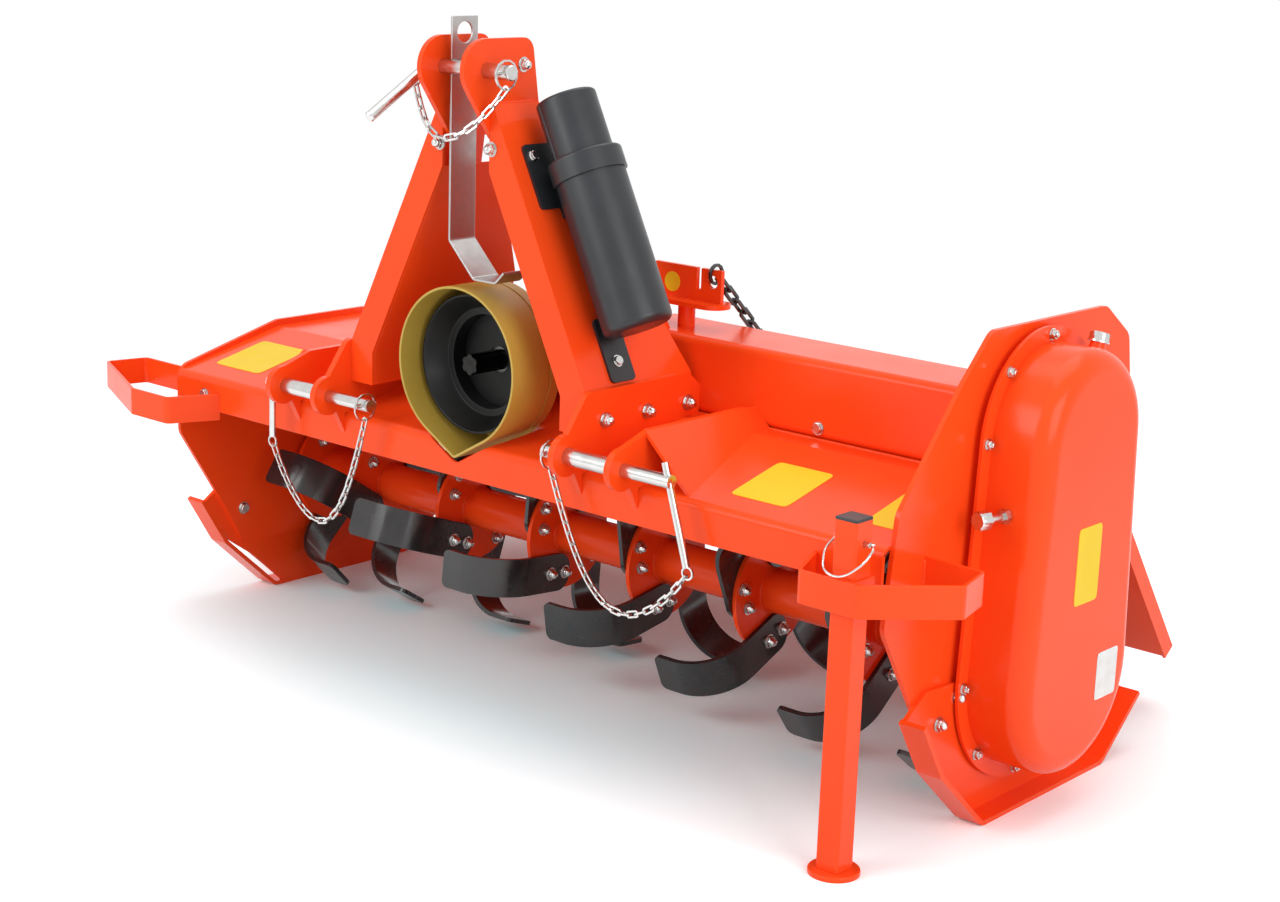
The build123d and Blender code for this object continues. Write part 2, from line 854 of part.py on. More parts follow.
# Hitch pins with bent handles, each with an eye for its chain and a cross hole for its linch pin
top_linch_x = top_pin_right - linch_inset
top_lean = math.radians(top_handle_angle)
top_eye_y = back(top_pin_depth) - top_eye_along * math.cos(top_lean)
top_eye_z = top_pin_z - top_eye_along * math.sin(top_lean) - handle / 2 - eye_radius + 2 * link_wire
top_handle_x = top_pin_left + handle / 2
with BuildPart() as top_pin_part:
    with BuildSketch(Plane.YZ.offset(top_pin_left)):
        with Locations((back(top_pin_depth), top_pin_z)):
            Circle(top_pin / 2)
    extrude(amount=top_pin_right - top_pin_left)
    with Locations(
        Location((top_handle_x, back(top_pin_depth), top_pin_z), (90 + top_handle_angle, 0, 0))
    ):
        Cylinder(handle / 2, top_handle_length, align=(Align.CENTER, Align.CENTER, Align.MIN))
    with BuildSketch(Plane.YZ.offset(top_handle_x - link_wire / 2)):
        with Locations((top_eye_y, top_eye_z)):
            add(ring_face(eye_radius, link_wire))
    extrude(amount=link_wire)
    with Locations(Location((top_linch_x, back(top_pin_depth), top_pin_z), (90, 0, 0))):
        Cylinder(linch_pin / 2 + pin_clearance, 2 * top_pin, mode=Mode.SUBTRACT)
nodes["top_pin"] = top_pin_part.part


def lower_pin_part(inner_end_x, rise, length, lean_angle):
    """A stepped lower pin, thicker between the lugs, with a handle that hangs at its outer end."""
    lean = math.radians(lean_angle)
    handle_x = inner_end_x + lower_pin_length - handle / 2
    down = Vector(math.sin(lean), 0, -math.cos(lean))
    grip = Vector(handle_x, back(lower_pin_depth), lower_pin_z)
    eye = grip + down * (length + eye_radius - link_wire)
    with BuildPart() as pin:
        with BuildSketch(Plane.YZ.offset(inner_end_x)):
            with Locations((back(lower_pin_depth), lower_pin_z)):
                Circle(lower_pin / 2)
        extrude(amount=lower_pin_length)
        with BuildSketch(Plane.YZ.offset(inner_lug_x + lug + pin_clearance)):
            with Locations((back(lower_pin_depth), lower_pin_z)):
                Circle(lower_bush / 2)
        extrude(amount=lug_gap - lug)
        with BuildSketch(Plane(origin=grip - down * rise, x_dir=(0, 1, 0), z_dir=down)):
            Circle(handle / 2)
        extrude(amount=rise + length)
        with BuildSketch(Plane.XZ.offset(-eye.Y - link_wire / 2)):
            with Locations((eye.X, eye.Z)):
                add(ring_face(eye_radius, link_wire))
        extrude(amount=link_wire)
        with Locations(Location((inner_end_x + linch_inset, grip.Y, lower_pin_z), (90, 0, 0))):
            Cylinder(linch_pin / 2 + pin_clearance, 2 * lower_pin, mode=Mode.SUBTRACT)
    return pin.part, eye


right_pin, right_eye = lower_pin_part(
    right_pin_inner_x, right_handle_rise, right_handle_length, right_handle_angle
)
left_pin, left_eye = lower_pin_part(left_pin_inner_x, 0, left_handle_length, 0)
nodes["right_lower_pin"] = right_pin
nodes["left_lower_pin"] = mirrored(left_pin)


# Linch pins: a peg through the end of each hitch pin, held by a spring ring that goes round it
def linch_pin_part(x, y, z):
    """A peg and the ring that its two ends hold, and the point under the ring where a chain hangs."""
    ring_z = z - linch_drop
    with BuildPart() as linch:
        with BuildSketch(Plane.YZ.offset(x - link_wire / 2)):
            with Locations((y, ring_z)):
                add(ring_face(linch_ring_radius, link_wire))
        extrude(amount=link_wire)
        with Locations(Location((x, y, z), (90, 0, 0))):
            Cylinder(linch_pin / 2, 2 * linch_ring_radius - link_wire)
    hang = Vector(x, y, ring_z - linch_ring_radius + link_wire / 2)
    return linch.part, hang


top_linch, top_linch_hang = linch_pin_part(top_linch_x, back(top_pin_depth), top_pin_z)
right_linch, right_linch_hang = linch_pin_part(
    right_pin_inner_x + linch_inset, back(lower_pin_depth), lower_pin_z
)
left_linch, left_linch_hang = linch_pin_part(
    left_pin_inner_x + linch_inset, back(lower_pin_depth), lower_pin_z
)
left_linch_mirrored = mirrored(left_linch)
with BuildPart() as linch_pins:
    add(top_linch)
    add(right_linch)
    add(left_linch_mirrored)
nodes["linch_pins"] = linch_pins.part

# Retaining chains, each from a handle's eye to a linch pin's ring
eye_wire_radius = eye_radius - link_wire / 2
lower_chain_y = back(lower_pin_depth)
lower_chain_z = lower_pin_z - lower_chain_drop
right_low = Vector(right_pin_inner_x + right_chain_run, lower_chain_y, lower_chain_z)
left_low = Vector(left_pin_inner_x + left_chain_run, lower_chain_y, lower_chain_z)
top_low = Vector(top_pin_left + top_chain_run, top_eye_y - top_chain_forward, top_pin_z - top_chain_drop)
right_eye_hang = right_eye + leaving(right_eye, right_low, slack_steepness) * eye_wire_radius
left_eye_hang = left_eye + leaving(left_eye, left_low, slack_steepness) * eye_wire_radius
top_eye_hang = Vector(top_handle_x, top_eye_y, top_eye_z - eye_wire_radius)
right_hang = [right_eye_hang, right_low, right_linch_hang]
left_hang = [left_eye_hang, left_low, left_linch_hang]
top_hang = [top_eye_hang, top_low, top_linch_hang]
backwards = Vector(0, 1, 0)
slack_link = (link_wire, link_width, slack_steepness)
right_chain = chain_links(right_hang, backwards, right_link_count, 0, *slack_link)
left_chain = mirrored(chain_links(left_hang, backwards, left_link_count, 0, *slack_link))
top_chain = chain_links(top_hang, backwards, top_link_count, 1, *slack_link)
with BuildPart() as pin_chains:
    add(right_chain)
    add(left_chain)
    add(top_chain)
nodes["pin_chains"] = pin_chains.part

# Hook strip that holds the drive shaft when it is unhitched
hook_top = top_pin_z + hook_rise
hook_foot_z = input_z + guard_radius + hook_gap
hook_knee_z = hook_foot_z + hook_slope
hook_line = [
    (hook_x, hook_top),
    (hook_x, hook_knee_z),
    (hook_x + hook_slope, hook_foot_z),
    (hook_x + hook_slope + hook_flat, hook_foot_z),
    (hook_x + hook_slope + hook_flat + hook_tip, hook_foot_z + hook_tip),
]
with BuildPart() as hook:
    with BuildSketch(Plane.XZ.offset(-back(0))):
        add(band(hook_line, hook_strip, sheet_bend / 2))
    extrude(amount=-hook_width)
    with BuildSketch(Plane.YZ.offset(hook_x - hook_width)):
        with Locations((back(top_pin_depth), top_pin_z)):
            Circle(top_pin / 2 + pin_clearance)
        with Locations((back(hook_width / 2), hook_top - hook_hole_drop)):
            Circle(hook_hole / 2)
    extrude(amount=2 * hook_width, mode=Mode.SUBTRACT)
nodes["shaft_hook"] = hook.part


def loop_face(plate_x, reach):
    """An end guard seen from above: out from the lip, round the corner and back to the end plate."""
    points = [
        (plate_x - loop_root_in, back(loop_root_depth)),
        (plate_x - loop_front_in, back(loop_front_depth)),
        (plate_x + loop_front_out, back(loop_front_depth)),
        (plate_x + reach, back(loop_shoulder_depth)),
        (plate_x + reach - loop_back_in, back(loop_back_depth)),
        (plate_x, back(loop_back_depth)),
    ]
    with BuildSketch() as face:
        add(band(points, loop_bar, loop_bend, Side.LEFT))
        with Locations((plate_x, back(0))):
            Rectangle(loop_root_in, loop_back_depth / 2, align=(Align.MAX, Align.MIN), mode=Mode.SUBTRACT)
    return face.sketch


with BuildPart() as right_loop:
    with BuildSketch(Plane.XY.offset(loop_top - loop_height)):
        add(loop_face(right_outer, right_loop_reach))
    extrude(amount=loop_height)
nodes["right_guard_loop"] = right_loop.part
with BuildPart() as mirrored_loop:
    with BuildSketch(Plane.XY.offset(loop_top - loop_height)):
        add(loop_face(-left_outer, left_loop_reach))
    extrude(amount=loop_height)
nodes["left_guard_loop"] = mirrored(mirrored_loop.part)

# Parking stand: a square tube that slides in a sleeve inside the right-hand loop
sleeve_bore = stand_tube + 2 * stand_slack
sleeve = sleeve_bore + 2 * sleeve_wall
stand_x = right_outer - stand_inset
stand_y = back(loop_front_depth) + loop_bar + sleeve / 2
lock_pin_z = stand_top - lock_pin_from_top
with BuildPart() as stand_sleeve:
    with BuildSketch(Plane.XY.offset(loop_top - loop_height)):
        with Locations((stand_x, stand_y)):
            Rectangle(sleeve, sleeve)
            Rectangle(sleeve_bore, sleeve_bore, mode=Mode.SUBTRACT)
    extrude(amount=loop_height)
nodes["stand_sleeve"] = stand_sleeve.part
with BuildPart() as stand_leg:
    with BuildSketch(Plane.XY.offset(foot)):
        with Locations((stand_x, stand_y)):
            RectangleRounded(stand_tube, stand_tube, stand_wall)
            Rectangle(stand_tube - 2 * stand_wall, stand_tube - 2 * stand_wall, mode=Mode.SUBTRACT)
    extrude(amount=stand_top - foot)
    with Locations(Location((stand_x, stand_y, lock_pin_z), (0, 90, 0))):
        Cylinder(lock_pin / 2 + pin_clearance, 2 * stand_tube, mode=Mode.SUBTRACT)
nodes["stand_leg"] = stand_leg.part
with BuildPart() as stand_foot:
    with Locations((stand_x, stand_y, 0)):
        Cylinder(foot_diameter / 2, foot, align=(Align.CENTER, Align.CENTER, Align.MIN))
    fillet(stand_foot.edges().group_by(Axis.Z)[-1], foot_edge)
nodes["stand_foot"] = stand_foot.part
with BuildPart() as stand_cap:
    with BuildSketch(Plane.XY.offset(stand_top)):
        with Locations((stand_x, stand_y)):
            RectangleRounded(stand_tube, stand_tube, stand_wall)
    extrude(amount=stand_wall)
    fillet(stand_cap.edges().group_by(Axis.Z)[-1], stand_wall / 2)
nodes["stand_cap"] = stand_cap.part
with BuildPart() as stand_lock_pin:
    with Locations(Location((stand_x, stand_y, lock_pin_z), (0, 90, 0))):
        Cylinder(lock_pin / 2, lock_pin_length)
nodes["stand_lock_pin"] = stand_lock_pin.part

# Rear board on its hinge rod
with BuildPart() as hinge_rod_part:
    with BuildSketch(Plane.YZ.offset(left_inner)):
        with Locations((back(hinge_depth), hinge_z)):
            Circle(hinge_rod / 2)
    extrude(amount=right_inner - left_inner)
nodes["board_hinge_rod"] = hinge_rod_part.part

knuckle_bore = hinge_rod / 2 + running_clearance
knuckle_radius = hinge_rod / 2 + knuckle_wall
board_left = left_inner + board_gap
board_right = right_inner - board_gap
board_lean = math.radians(board_angle)
chain_x = bracket_x + bracket_hole_inset


def board_point(along, out=0.0):
    """Side-view point this far down the board from its hinge, and this far behind its face."""
    depth = hinge_depth + along * math.sin(board_lean) + out * math.cos(board_lean)
    height = hinge_z - along * math.cos(board_lean) + out * math.sin(board_lean)
    return back(depth), height


board_line = [
    board_point(knuckle_radius - knuckle_wall / 2),
    board_point(board_length),
    board_point(board_length, board_lip),
]
flange_outline = [
    board_point(3 * knuckle_radius),
    board_point(board_length),
    board_point(board_length, board_lip),
    board_point(3 * knuckle_radius, board_lip),
]
lug_eye = board_point(board_lug_along, board_lug_out)
with BuildPart() as rear_board:
    with BuildSketch(Plane.YZ.offset(board_left)):
        add(band(board_line, board_sheet, sheet_bend / 2, Side.LEFT))
    extrude(amount=board_right - board_left)
    for flange_x in (board_left, board_right - board_sheet):
        with BuildSketch(Plane.YZ.offset(flange_x)):
            add(outline(flange_outline))
        extrude(amount=board_sheet)
    knuckle_pitch = (board_right - board_left - knuckle_length) / (knuckle_count - 1)
    for number in range(knuckle_count):
        with BuildSketch(Plane.YZ.offset(board_left + number * knuckle_pitch)):
            with Locations((back(hinge_depth), hinge_z)):
                Circle(knuckle_radius)
        extrude(amount=knuckle_length)
    with BuildSketch(Plane.YZ.offset(board_left)):
        with Locations((back(hinge_depth), hinge_z)):
            Circle(knuckle_bore)
    extrude(amount=board_right - board_left, mode=Mode.SUBTRACT)
    with BuildSketch(Plane.YZ.offset(chain_x - board_lug / 2)):
        with BuildSketch(mode=Mode.PRIVATE) as lug_face:
            with Locations(lug_eye):
                Circle(board_lug_radius)
            for edge_along in (-board_lug_base / 2, board_lug_base / 2):
                with Locations(board_point(board_lug_along + edge_along, board_sheet)):
                    Circle(board_sheet / 2)
            make_hull()
        add(lug_face.sketch)
        with Locations(lug_eye):
            Circle(board_lug_hole, mode=Mode.SUBTRACT)
    extrude(amount=board_lug)
nodes["rear_board"] = rear_board.part

# Bracket on the beam: a post, a rounded shelf and an upright plate with a slot for spare links
bracket_middle_z = (bracket_shelf_z + bracket_top) / 2
hole_z = bracket_top - bracket_hole_drop
with BuildPart() as chain_bracket:
    with BuildSketch(Plane.XY.offset(beam_top)):
        with Locations((bracket_x, back(bracket_depth))):
            Circle(post / 2)
    extrude(amount=bracket_shelf_z - beam_top)
    with BuildSketch(Plane.XY.offset(bracket_shelf_z)):
        with Locations((bracket_x, back(bracket_depth))):
            SlotOverall(bracket_width + 2 * bracket_tab, post * 2)
    extrude(amount=bracket_sheet)
    with BuildSketch(Plane.XZ.offset(-back(bracket_depth))):
        with Locations((bracket_x, bracket_middle_z)):
            Rectangle(bracket_width, bracket_top - bracket_shelf_z)
        with Locations((chain_x, hole_z)):
            Circle(bracket_hole, mode=Mode.SUBTRACT)
        with Locations((chain_x - bracket_hole - bracket_tab, bracket_top)):
            Rectangle(bracket_slot, bracket_slot_depth, align=(Align.MAX, Align.MAX), mode=Mode.SUBTRACT)
    extrude(amount=-bracket_sheet)
nodes["chain_bracket"] = chain_bracket.part

# Board chain: a ring through the bracket's hole and links down to the board's lug
plate_corner = Vector(chain_x, back(bracket_depth), bracket_top)
lug_centre = Vector(chain_x, *lug_eye)
chain_run = (lug_centre - plate_corner).normalized()
ring_centre = plate_corner + chain_run * (board_ring_radius - board_link_wire - link_gap)
ring_hang = ring_centre + chain_run * (board_ring_radius - board_link_wire / 2)
lug_hang = lug_centre - chain_run * (board_lug_hole + board_link_wire / 2)
chain_sag = (ring_hang + lug_hang) / 2 - Vector(0, 0, board_link_wire)
board_links = chain_links(
    [ring_hang, chain_sag, lug_hang],
    Vector(1, 0, 0),
    board_link_count,
    0,
    board_link_wire,
    board_link_width,
    taut_steepness,
)
with BuildPart() as board_chain:
    with BuildSketch(Plane.YZ.offset(chain_x - board_link_wire / 2)):
        with Locations((ring_centre.Y, ring_centre.Z)):
            add(ring_face(board_ring_radius, board_link_wire))
    extrude(amount=board_link_wire)
    add(board_links)
nodes["board_chain"] = board_chain.part

# Document tube that lies along the right leg, its top a little short of the leg's
leg_vector = Vector(ear_outer + leg_sheet - leg_foot_x, 0, leg_top_z - leg_knee_z)
leg_run = leg_vector.normalized()
leg_normal = Vector(leg_run.Z, 0, -leg_run.X)
leg_base = Vector(leg_foot_x, back(tube_depth), leg_knee_z)
tube_bottom = leg_vector.length - tube_top_inset - tube_length
tube_body = tube_length - tube_cap_length
tube_start = leg_base + leg_run * tube_bottom + leg_normal * (tube_diameter / 2 + tube_clip)
tube_plane = Plane(origin=tube_start, x_dir=(0, 1, 0), z_dir=leg_run)
with BuildPart() as document_tube:
    with BuildSketch(tube_plane):
        Circle(tube_diameter / 2)
    extrude(amount=tube_body)
    fillet(document_tube.edges().sort_by(Axis(tube_start, leg_run))[0], tube_edge)
nodes["document_tube"] = document_tube.part
with BuildPart() as document_cap:
    with BuildSketch(tube_plane.offset(tube_body)):
        Circle(tube_collar / 2)
    extrude(amount=tube_collar_length)
    fillet(document_cap.edges().sort_by(Axis(tube_start, leg_run))[-1], cap_edge)
    with BuildSketch(tube_plane.offset(tube_body)):
        Circle(tube_cap / 2)
    extrude(amount=tube_cap_length)
    fillet(document_cap.edges().sort_by(Axis(tube_start, leg_run))[-1], cap_edge)
nodes["document_tube_cap"] = document_cap.part

# Clips: a pad under the tube on a flat foot that is screwed to the leg, one foot each way
lower_clip = Plane(
    origin=leg_base + leg_run * (tube_bottom + clip_from_bottom), x_dir=-leg_run, z_dir=leg_normal
)
upper_clip = Plane(
    origin=leg_base + leg_run * (tube_bottom + tube_body - clip_from_cap), x_dir=(0, -1, 0), z_dir=leg_normal
)
with BuildPart() as tube_clips:
    with BuildSketch(lower_clip, upper_clip):
        Rectangle(clip_pad, clip_pad)
    extrude(amount=tube_clip - clip_gap)
    with BuildSketch(lower_clip):
        with Locations((lower_clip_reach / 2, 0)):
            RectangleRounded(lower_clip_reach + clip_pad, lower_clip_width, clip_corner)
    extrude(amount=clip_foot)
    with BuildSketch(upper_clip):
        with Locations((upper_clip_reach / 2, -upper_clip_shift)):
            RectangleRounded(upper_clip_reach + clip_pad, upper_clip_width, clip_corner)
    extrude(amount=clip_foot)
nodes["tube_clips"] = tube_clips.part

for name, part in nodes.items():
    part.label = name
    export_step(part, f"parts/{name}.step")
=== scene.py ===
# %% [markdown]
# # A rotary tiller on a white floor
# The machine is a tractor's rotary tiller: a bent orange hood over a rotor of black blades, with a tower for
# the tractor's linkage, a chain case at one end and a stand that keeps it level when it is parked.
# The welded and bolted steel comes in as a fixed frame of named nodes. This lesson gives every node its
# finish, rounds its edges, and adds what the frame leaves out: nuts, washers, plain patches, weld beads, a
# wire clip, a stout top pin and a few plates. The machine's own sizes are in millimetres, and whatever
# Blender reads is in metres, in the frame's own axes.

# %% Load the frame and keep its nodes and record
import json
import math

import bmesh
import bpy
import numpy as np
from mathutils import Matrix, Vector


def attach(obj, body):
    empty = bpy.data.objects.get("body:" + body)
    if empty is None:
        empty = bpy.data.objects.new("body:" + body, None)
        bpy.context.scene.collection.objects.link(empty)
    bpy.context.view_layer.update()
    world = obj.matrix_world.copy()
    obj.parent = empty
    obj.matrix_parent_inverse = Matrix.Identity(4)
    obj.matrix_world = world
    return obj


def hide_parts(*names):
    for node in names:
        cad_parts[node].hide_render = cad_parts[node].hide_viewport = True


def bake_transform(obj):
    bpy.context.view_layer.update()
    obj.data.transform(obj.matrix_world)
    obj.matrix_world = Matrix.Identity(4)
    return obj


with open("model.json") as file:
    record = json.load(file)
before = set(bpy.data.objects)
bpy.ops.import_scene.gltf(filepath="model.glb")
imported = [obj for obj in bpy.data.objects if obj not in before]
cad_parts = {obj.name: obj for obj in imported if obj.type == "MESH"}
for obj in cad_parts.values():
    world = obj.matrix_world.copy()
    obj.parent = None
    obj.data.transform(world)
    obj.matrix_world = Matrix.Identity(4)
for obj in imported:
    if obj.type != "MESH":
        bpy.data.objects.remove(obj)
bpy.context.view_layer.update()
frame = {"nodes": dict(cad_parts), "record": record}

# %% [markdown]
# ## The camera
# The photograph was taken from the front right, a little above the hood, with a long lens. A camera needs a
# place, a direction and a focal length. Here they come from three angles and a distance about one point of
# the machine, because such numbers are easy to read and easy to correct one at a time.

# %% Camera from three angles
MM = 0.001
PHOTO_WIDTH = 1280
FOCAL_PIXELS = 2225
SENSOR = 36.0
look_at = np.array([321.0, -303.0, 504.0]) * MM
distance = 3.580
azimuth, elevation, roll = np.radians([40.76, 13.94, 1.95])

backward = np.array([
    math.sin(azimuth) * math.cos(elevation),
    -math.cos(azimuth) * math.cos(elevation),
    math.sin(elevation),
])
level = np.array([math.cos(azimuth), math.sin(azimuth), 0.0])
upright = np.cross(backward, level)
right = math.cos(roll) * level + math.sin(roll) * upright
up = math.cos(roll) * upright - math.sin(roll) * level
eye = look_at + distance * backward

lens = bpy.data.cameras.new("camera")
lens.sensor_width = SENSOR
lens.lens = SENSOR * FOCAL_PIXELS / PHOTO_WIDTH
lens.clip_end = 200.0
camera = bpy.data.objects.new("camera", lens)
bpy.context.scene.collection.objects.link(camera)
facing = Matrix(np.column_stack([right, up, backward]).tolist())
camera.matrix_world = Matrix.Translation(eye) @ facing.to_4x4()
bpy.context.scene.camera = camera
print("camera at", np.round(eye, 3))

# %% [markdown]
# ## Finishes
# A finish is a small tree of shader nodes. Each one below has a colour that drifts a little over the
# surface, a gloss that is not quite even and a fine relief, because real paint, zinc and plastic have all
# three. The patterns read Object coordinates, so they stay fixed on the steel when a joint moves.

# %% A helper that wires a finish
FIRST, SECOND, MIXED = 6, 7, 2  # places of a Mix node's two colours and of its result
DRIFT_SPAN = (0.35, 0.65)
GLOSS_SPAN = (0.30, 0.70)


def finish(name, colour, drift, gloss, relief, **sockets):
    """A surface whose colour, gloss and relief follow noise.

    colour is the mean, drift is (second colour, cells per metre, share of it), gloss is (lowest roughness,
    highest roughness, cells per metre) and relief is (cells per metre, strength, depth in metres).
    """
    material = bpy.data.materials.new(name)
    material.use_nodes = True
    nodes, links = material.node_tree.nodes, material.node_tree.links
    shader = nodes["Principled BSDF"]
    place = nodes.new("ShaderNodeTexCoord")

    def noise(scale, detail=3.0):
        node = nodes.new("ShaderNodeTexNoise")
        node.inputs["Scale"].default_value = scale
        node.inputs["Detail"].default_value = detail
        links.new(place.outputs["Object"], node.inputs["Vector"])
        return node.outputs["Fac"]

    def ranged(value, span, ends):
        node = nodes.new("ShaderNodeMapRange")
        for socket, number in zip(("From Min", "From Max", "To Min", "To Max"), (*span, *ends)):
            node.inputs[socket].default_value = number
        links.new(value, node.inputs["Value"])
        return node.outputs["Result"]

    second, drift_scale, share = drift
    blend = nodes.new("ShaderNodeMix")
    blend.data_type = "RGBA"
    blend.inputs[FIRST].default_value = (*colour, 1.0)
    blend.inputs[SECOND].default_value = (*second, 1.0)
    links.new(ranged(noise(drift_scale), DRIFT_SPAN, (0.0, share)), blend.inputs["Factor"])
    links.new(blend.outputs[MIXED], shader.inputs["Base Color"])

    low, high, gloss_scale = gloss
    links.new(ranged(noise(gloss_scale), GLOSS_SPAN, (low, high)), shader.inputs["Roughness"])

    relief_scale, strength, depth = relief
    bump = nodes.new("ShaderNodeBump")
    bump.inputs["Strength"].default_value = strength
    bump.inputs["Distance"].default_value = depth
    links.new(noise(relief_scale, 2.0), bump.inputs["Height"])
    links.new(bump.outputs["Normal"], shader.inputs["Normal"])
    for socket, value in sockets.items():
        shader.inputs[socket.replace("_", " ")].default_value = value
    return material


# %% The machine's own finishes
finishes = {
    "orange_paint": finish(
        "orange_paint", (0.97, 0.078, 0.010), ((0.93, 0.066, 0.008), 3.0, 0.6),
        (0.17, 0.25, 14.0), (420.0, 0.08, 0.0004), Specular_IOR_Level=0.21,
    ),
    "yellow_plastic": finish(
        "yellow_plastic", (0.52, 0.35, 0.060), ((0.46, 0.30, 0.045), 9.0, 0.7),
        (0.34, 0.46, 20.0), (900.0, 0.12, 0.0003),
    ),
    "black_plastic": finish(
        "black_plastic", (0.016, 0.019, 0.022), ((0.022, 0.025, 0.029), 12.0, 0.8),
        (0.30, 0.42, 26.0), (1500.0, 0.22, 0.0003),
    ),
    "zinc_plate": finish(
        "zinc_plate", (0.66, 0.66, 0.65), ((0.56, 0.55, 0.52), 40.0, 0.6),
        (0.16, 0.28, 90.0), (700.0, 0.03, 0.0003), Metallic=1.0,
    ),
    "galvanised_steel": finish(
        "galvanised_steel", (0.50, 0.49, 0.48), ((0.42, 0.41, 0.40), 60.0, 0.7),
        (0.28, 0.36, 60.0), (600.0, 0.02, 0.0003), Metallic=1.0,
    ),
    "blade_steel": finish(
        "blade_steel", (0.018, 0.018, 0.019), ((0.030, 0.028, 0.026), 22.0, 0.7),
        (0.16, 0.30, 30.0), (500.0, 0.14, 0.0004), Coat_Weight=0.25, Coat_Roughness=0.10,
    ),
    "cast_housing": finish(
        "cast_housing", (0.36, 0.36, 0.35), ((0.28, 0.28, 0.27), 30.0, 0.8),
        (0.45, 0.62, 60.0), (350.0, 0.35, 0.0006), Metallic=0.35,
    ),
    # Painted shade: this steel is darkened almost to black, so that the input shaft deep in the bell reads as
    # shaded and does not show. Bare steel would be far lighter.
    "bright_steel": finish(
        "bright_steel", (0.035, 0.034, 0.033), ((0.022, 0.021, 0.020), 80.0, 0.7),
        (0.28, 0.42, 120.0), (800.0, 0.08, 0.0002), Metallic=1.0,
    ),
}
# Painted shade: the bell is black plastic made about four times darker than the rest, so that the inside of the
# guard reads as deep in shade.
bell_plastic_painted_shade = finish(
    "bell_plastic_painted_shade", (0.004, 0.0042, 0.0045), ((0.006, 0.0062, 0.0065), 12.0, 0.8),
    (0.36, 0.48, 26.0), (1500.0, 0.10, 0.0003), Specular_IOR_Level=0.3,
)
yellow_patch = finish(
    "yellow_patch", (0.84, 0.58, 0.010), ((0.80, 0.54, 0.008), 20.0, 0.5),
    (0.36, 0.44, 30.0), (900.0, 0.05, 0.0002), Specular_IOR_Level=0.25,
)
print("finishes", sorted(finishes), "and one each for the bell and the patches")

# %% [markdown]
# ## Round the steel's edges
# No sheared or moulded edge is perfectly sharp, and the thin bright line on it is what makes painted steel
# look real. A node's own mesh has to stay as it is, so the rounding is done by modifiers: loose triangles
# are joined, corners are bevelled, and the shading normals lean towards the large flat faces.


# %% A node group and a bevel
def joined_and_smooth():
    """A node group that joins loose triangles, drops their stored normals and shades them smooth."""
    group = bpy.data.node_groups.new("join_loose_triangles", "GeometryNodeTree")
    for way in ("INPUT", "OUTPUT"):
        group.interface.new_socket("Geometry", in_out=way, socket_type="NodeSocketGeometry")
    start, drop, merge, smooth, end = (group.nodes.new(kind) for kind in (
        "NodeGroupInput", "GeometryNodeRemoveAttribute", "GeometryNodeMergeByDistance",
        "GeometryNodeSetShadeSmooth", "NodeGroupOutput",
    ))
    drop.inputs["Name"].default_value = "custom_normal"
    merge.inputs["Distance"].default_value = 1e-5
    for first, second in ((start, drop), (drop, merge), (merge, smooth), (smooth, end)):
        group.links.new(first.outputs["Geometry"], second.inputs["Geometry"])
    return group


EDGE = 1.0 * MM
FINE_EDGE = 0.4 * MM
SHARP = 38.0


def round_edges(shape, width):
    """A bevel of two steps on every edge that turns by more than the sharp angle."""
    bevel = shape.modifiers.new("edges", "BEVEL")
    bevel.width = width
    bevel.segments = 2
    bevel.limit_method = "ANGLE"
    bevel.angle_limit = math.radians(SHARP)


# %% Join, bevel and shade every node
fine_nodes = {"pin_chains", "linch_pins", "board_chain", "stand_lock_pin"}
joiner = joined_and_smooth()
slot_of = {row["node"]: row["material_slot"] for row in frame["record"]["subparts"]}
for node, shape in frame["nodes"].items():
    shape.data.materials.clear()
    # The cone takes the bell's darker black, which is painted shade for the inside of the guard.
    shape.data.materials.append(bell_plastic_painted_shade if node == "input_cone" else finishes[slot_of[node]])
    shape.modifiers.new("join", "NODES").node_group = joiner
    round_edges(shape, FINE_EDGE if node in fine_nodes else EDGE)
    shape.modifiers.new("shade", "WEIGHTED_NORMAL").keep_sharp = True
print("dressed", len(frame["nodes"]), "nodes")

# %% [markdown]
# ## Small pieces as arrays of points
# A nut, a weld bead and a wire are all the same thing to a mesh: a ring of points that is carried along a
# line while it grows and shrinks. So one helper turns a grid of points into a mesh, and the helpers after it
# only work out where those points are. Blender's own cylinders and arrays would also do, but hundreds of
# nuts are made faster, and placed more exactly, as one array.


# %% A grid of points becomes a piece
def make_piece(name, shells, slot, body, paint=None, crease=35.0):
    """One mesh from shells, each an array (copies, rows, columns, 3) whose columns run round and meet.

    Every quad joins a point with the next one in its row and with the two in the row after.
    """
    points, quads, used = [], [], 0
    for shell in shells:
        copies, rows, columns, _ = shell.shape
        copy, row, column = np.meshgrid(
            np.arange(copies), np.arange(rows - 1), np.arange(columns), indexing="ij")
        first = used + (copy * rows + row) * columns
        after = (column + 1) % columns
        corners = [first + column, first + after, first + columns + after, first + columns + column]
        quads.append(np.stack(corners, axis=-1).reshape(-1, 4))
        points.append(shell.reshape(-1, 3))
        used += copies * rows * columns
    mesh = bpy.data.meshes.new(name)
    mesh.from_pydata(np.concatenate(points).tolist(), [], np.concatenate(quads).tolist())
    clean(mesh, crease)
    piece = bpy.data.objects.new(name, mesh)
    bpy.context.scene.collection.objects.link(piece)
    mesh.materials.append(paint or finishes[slot])
    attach(piece, body)
    print(name, len(mesh.polygons), "faces")
    return piece


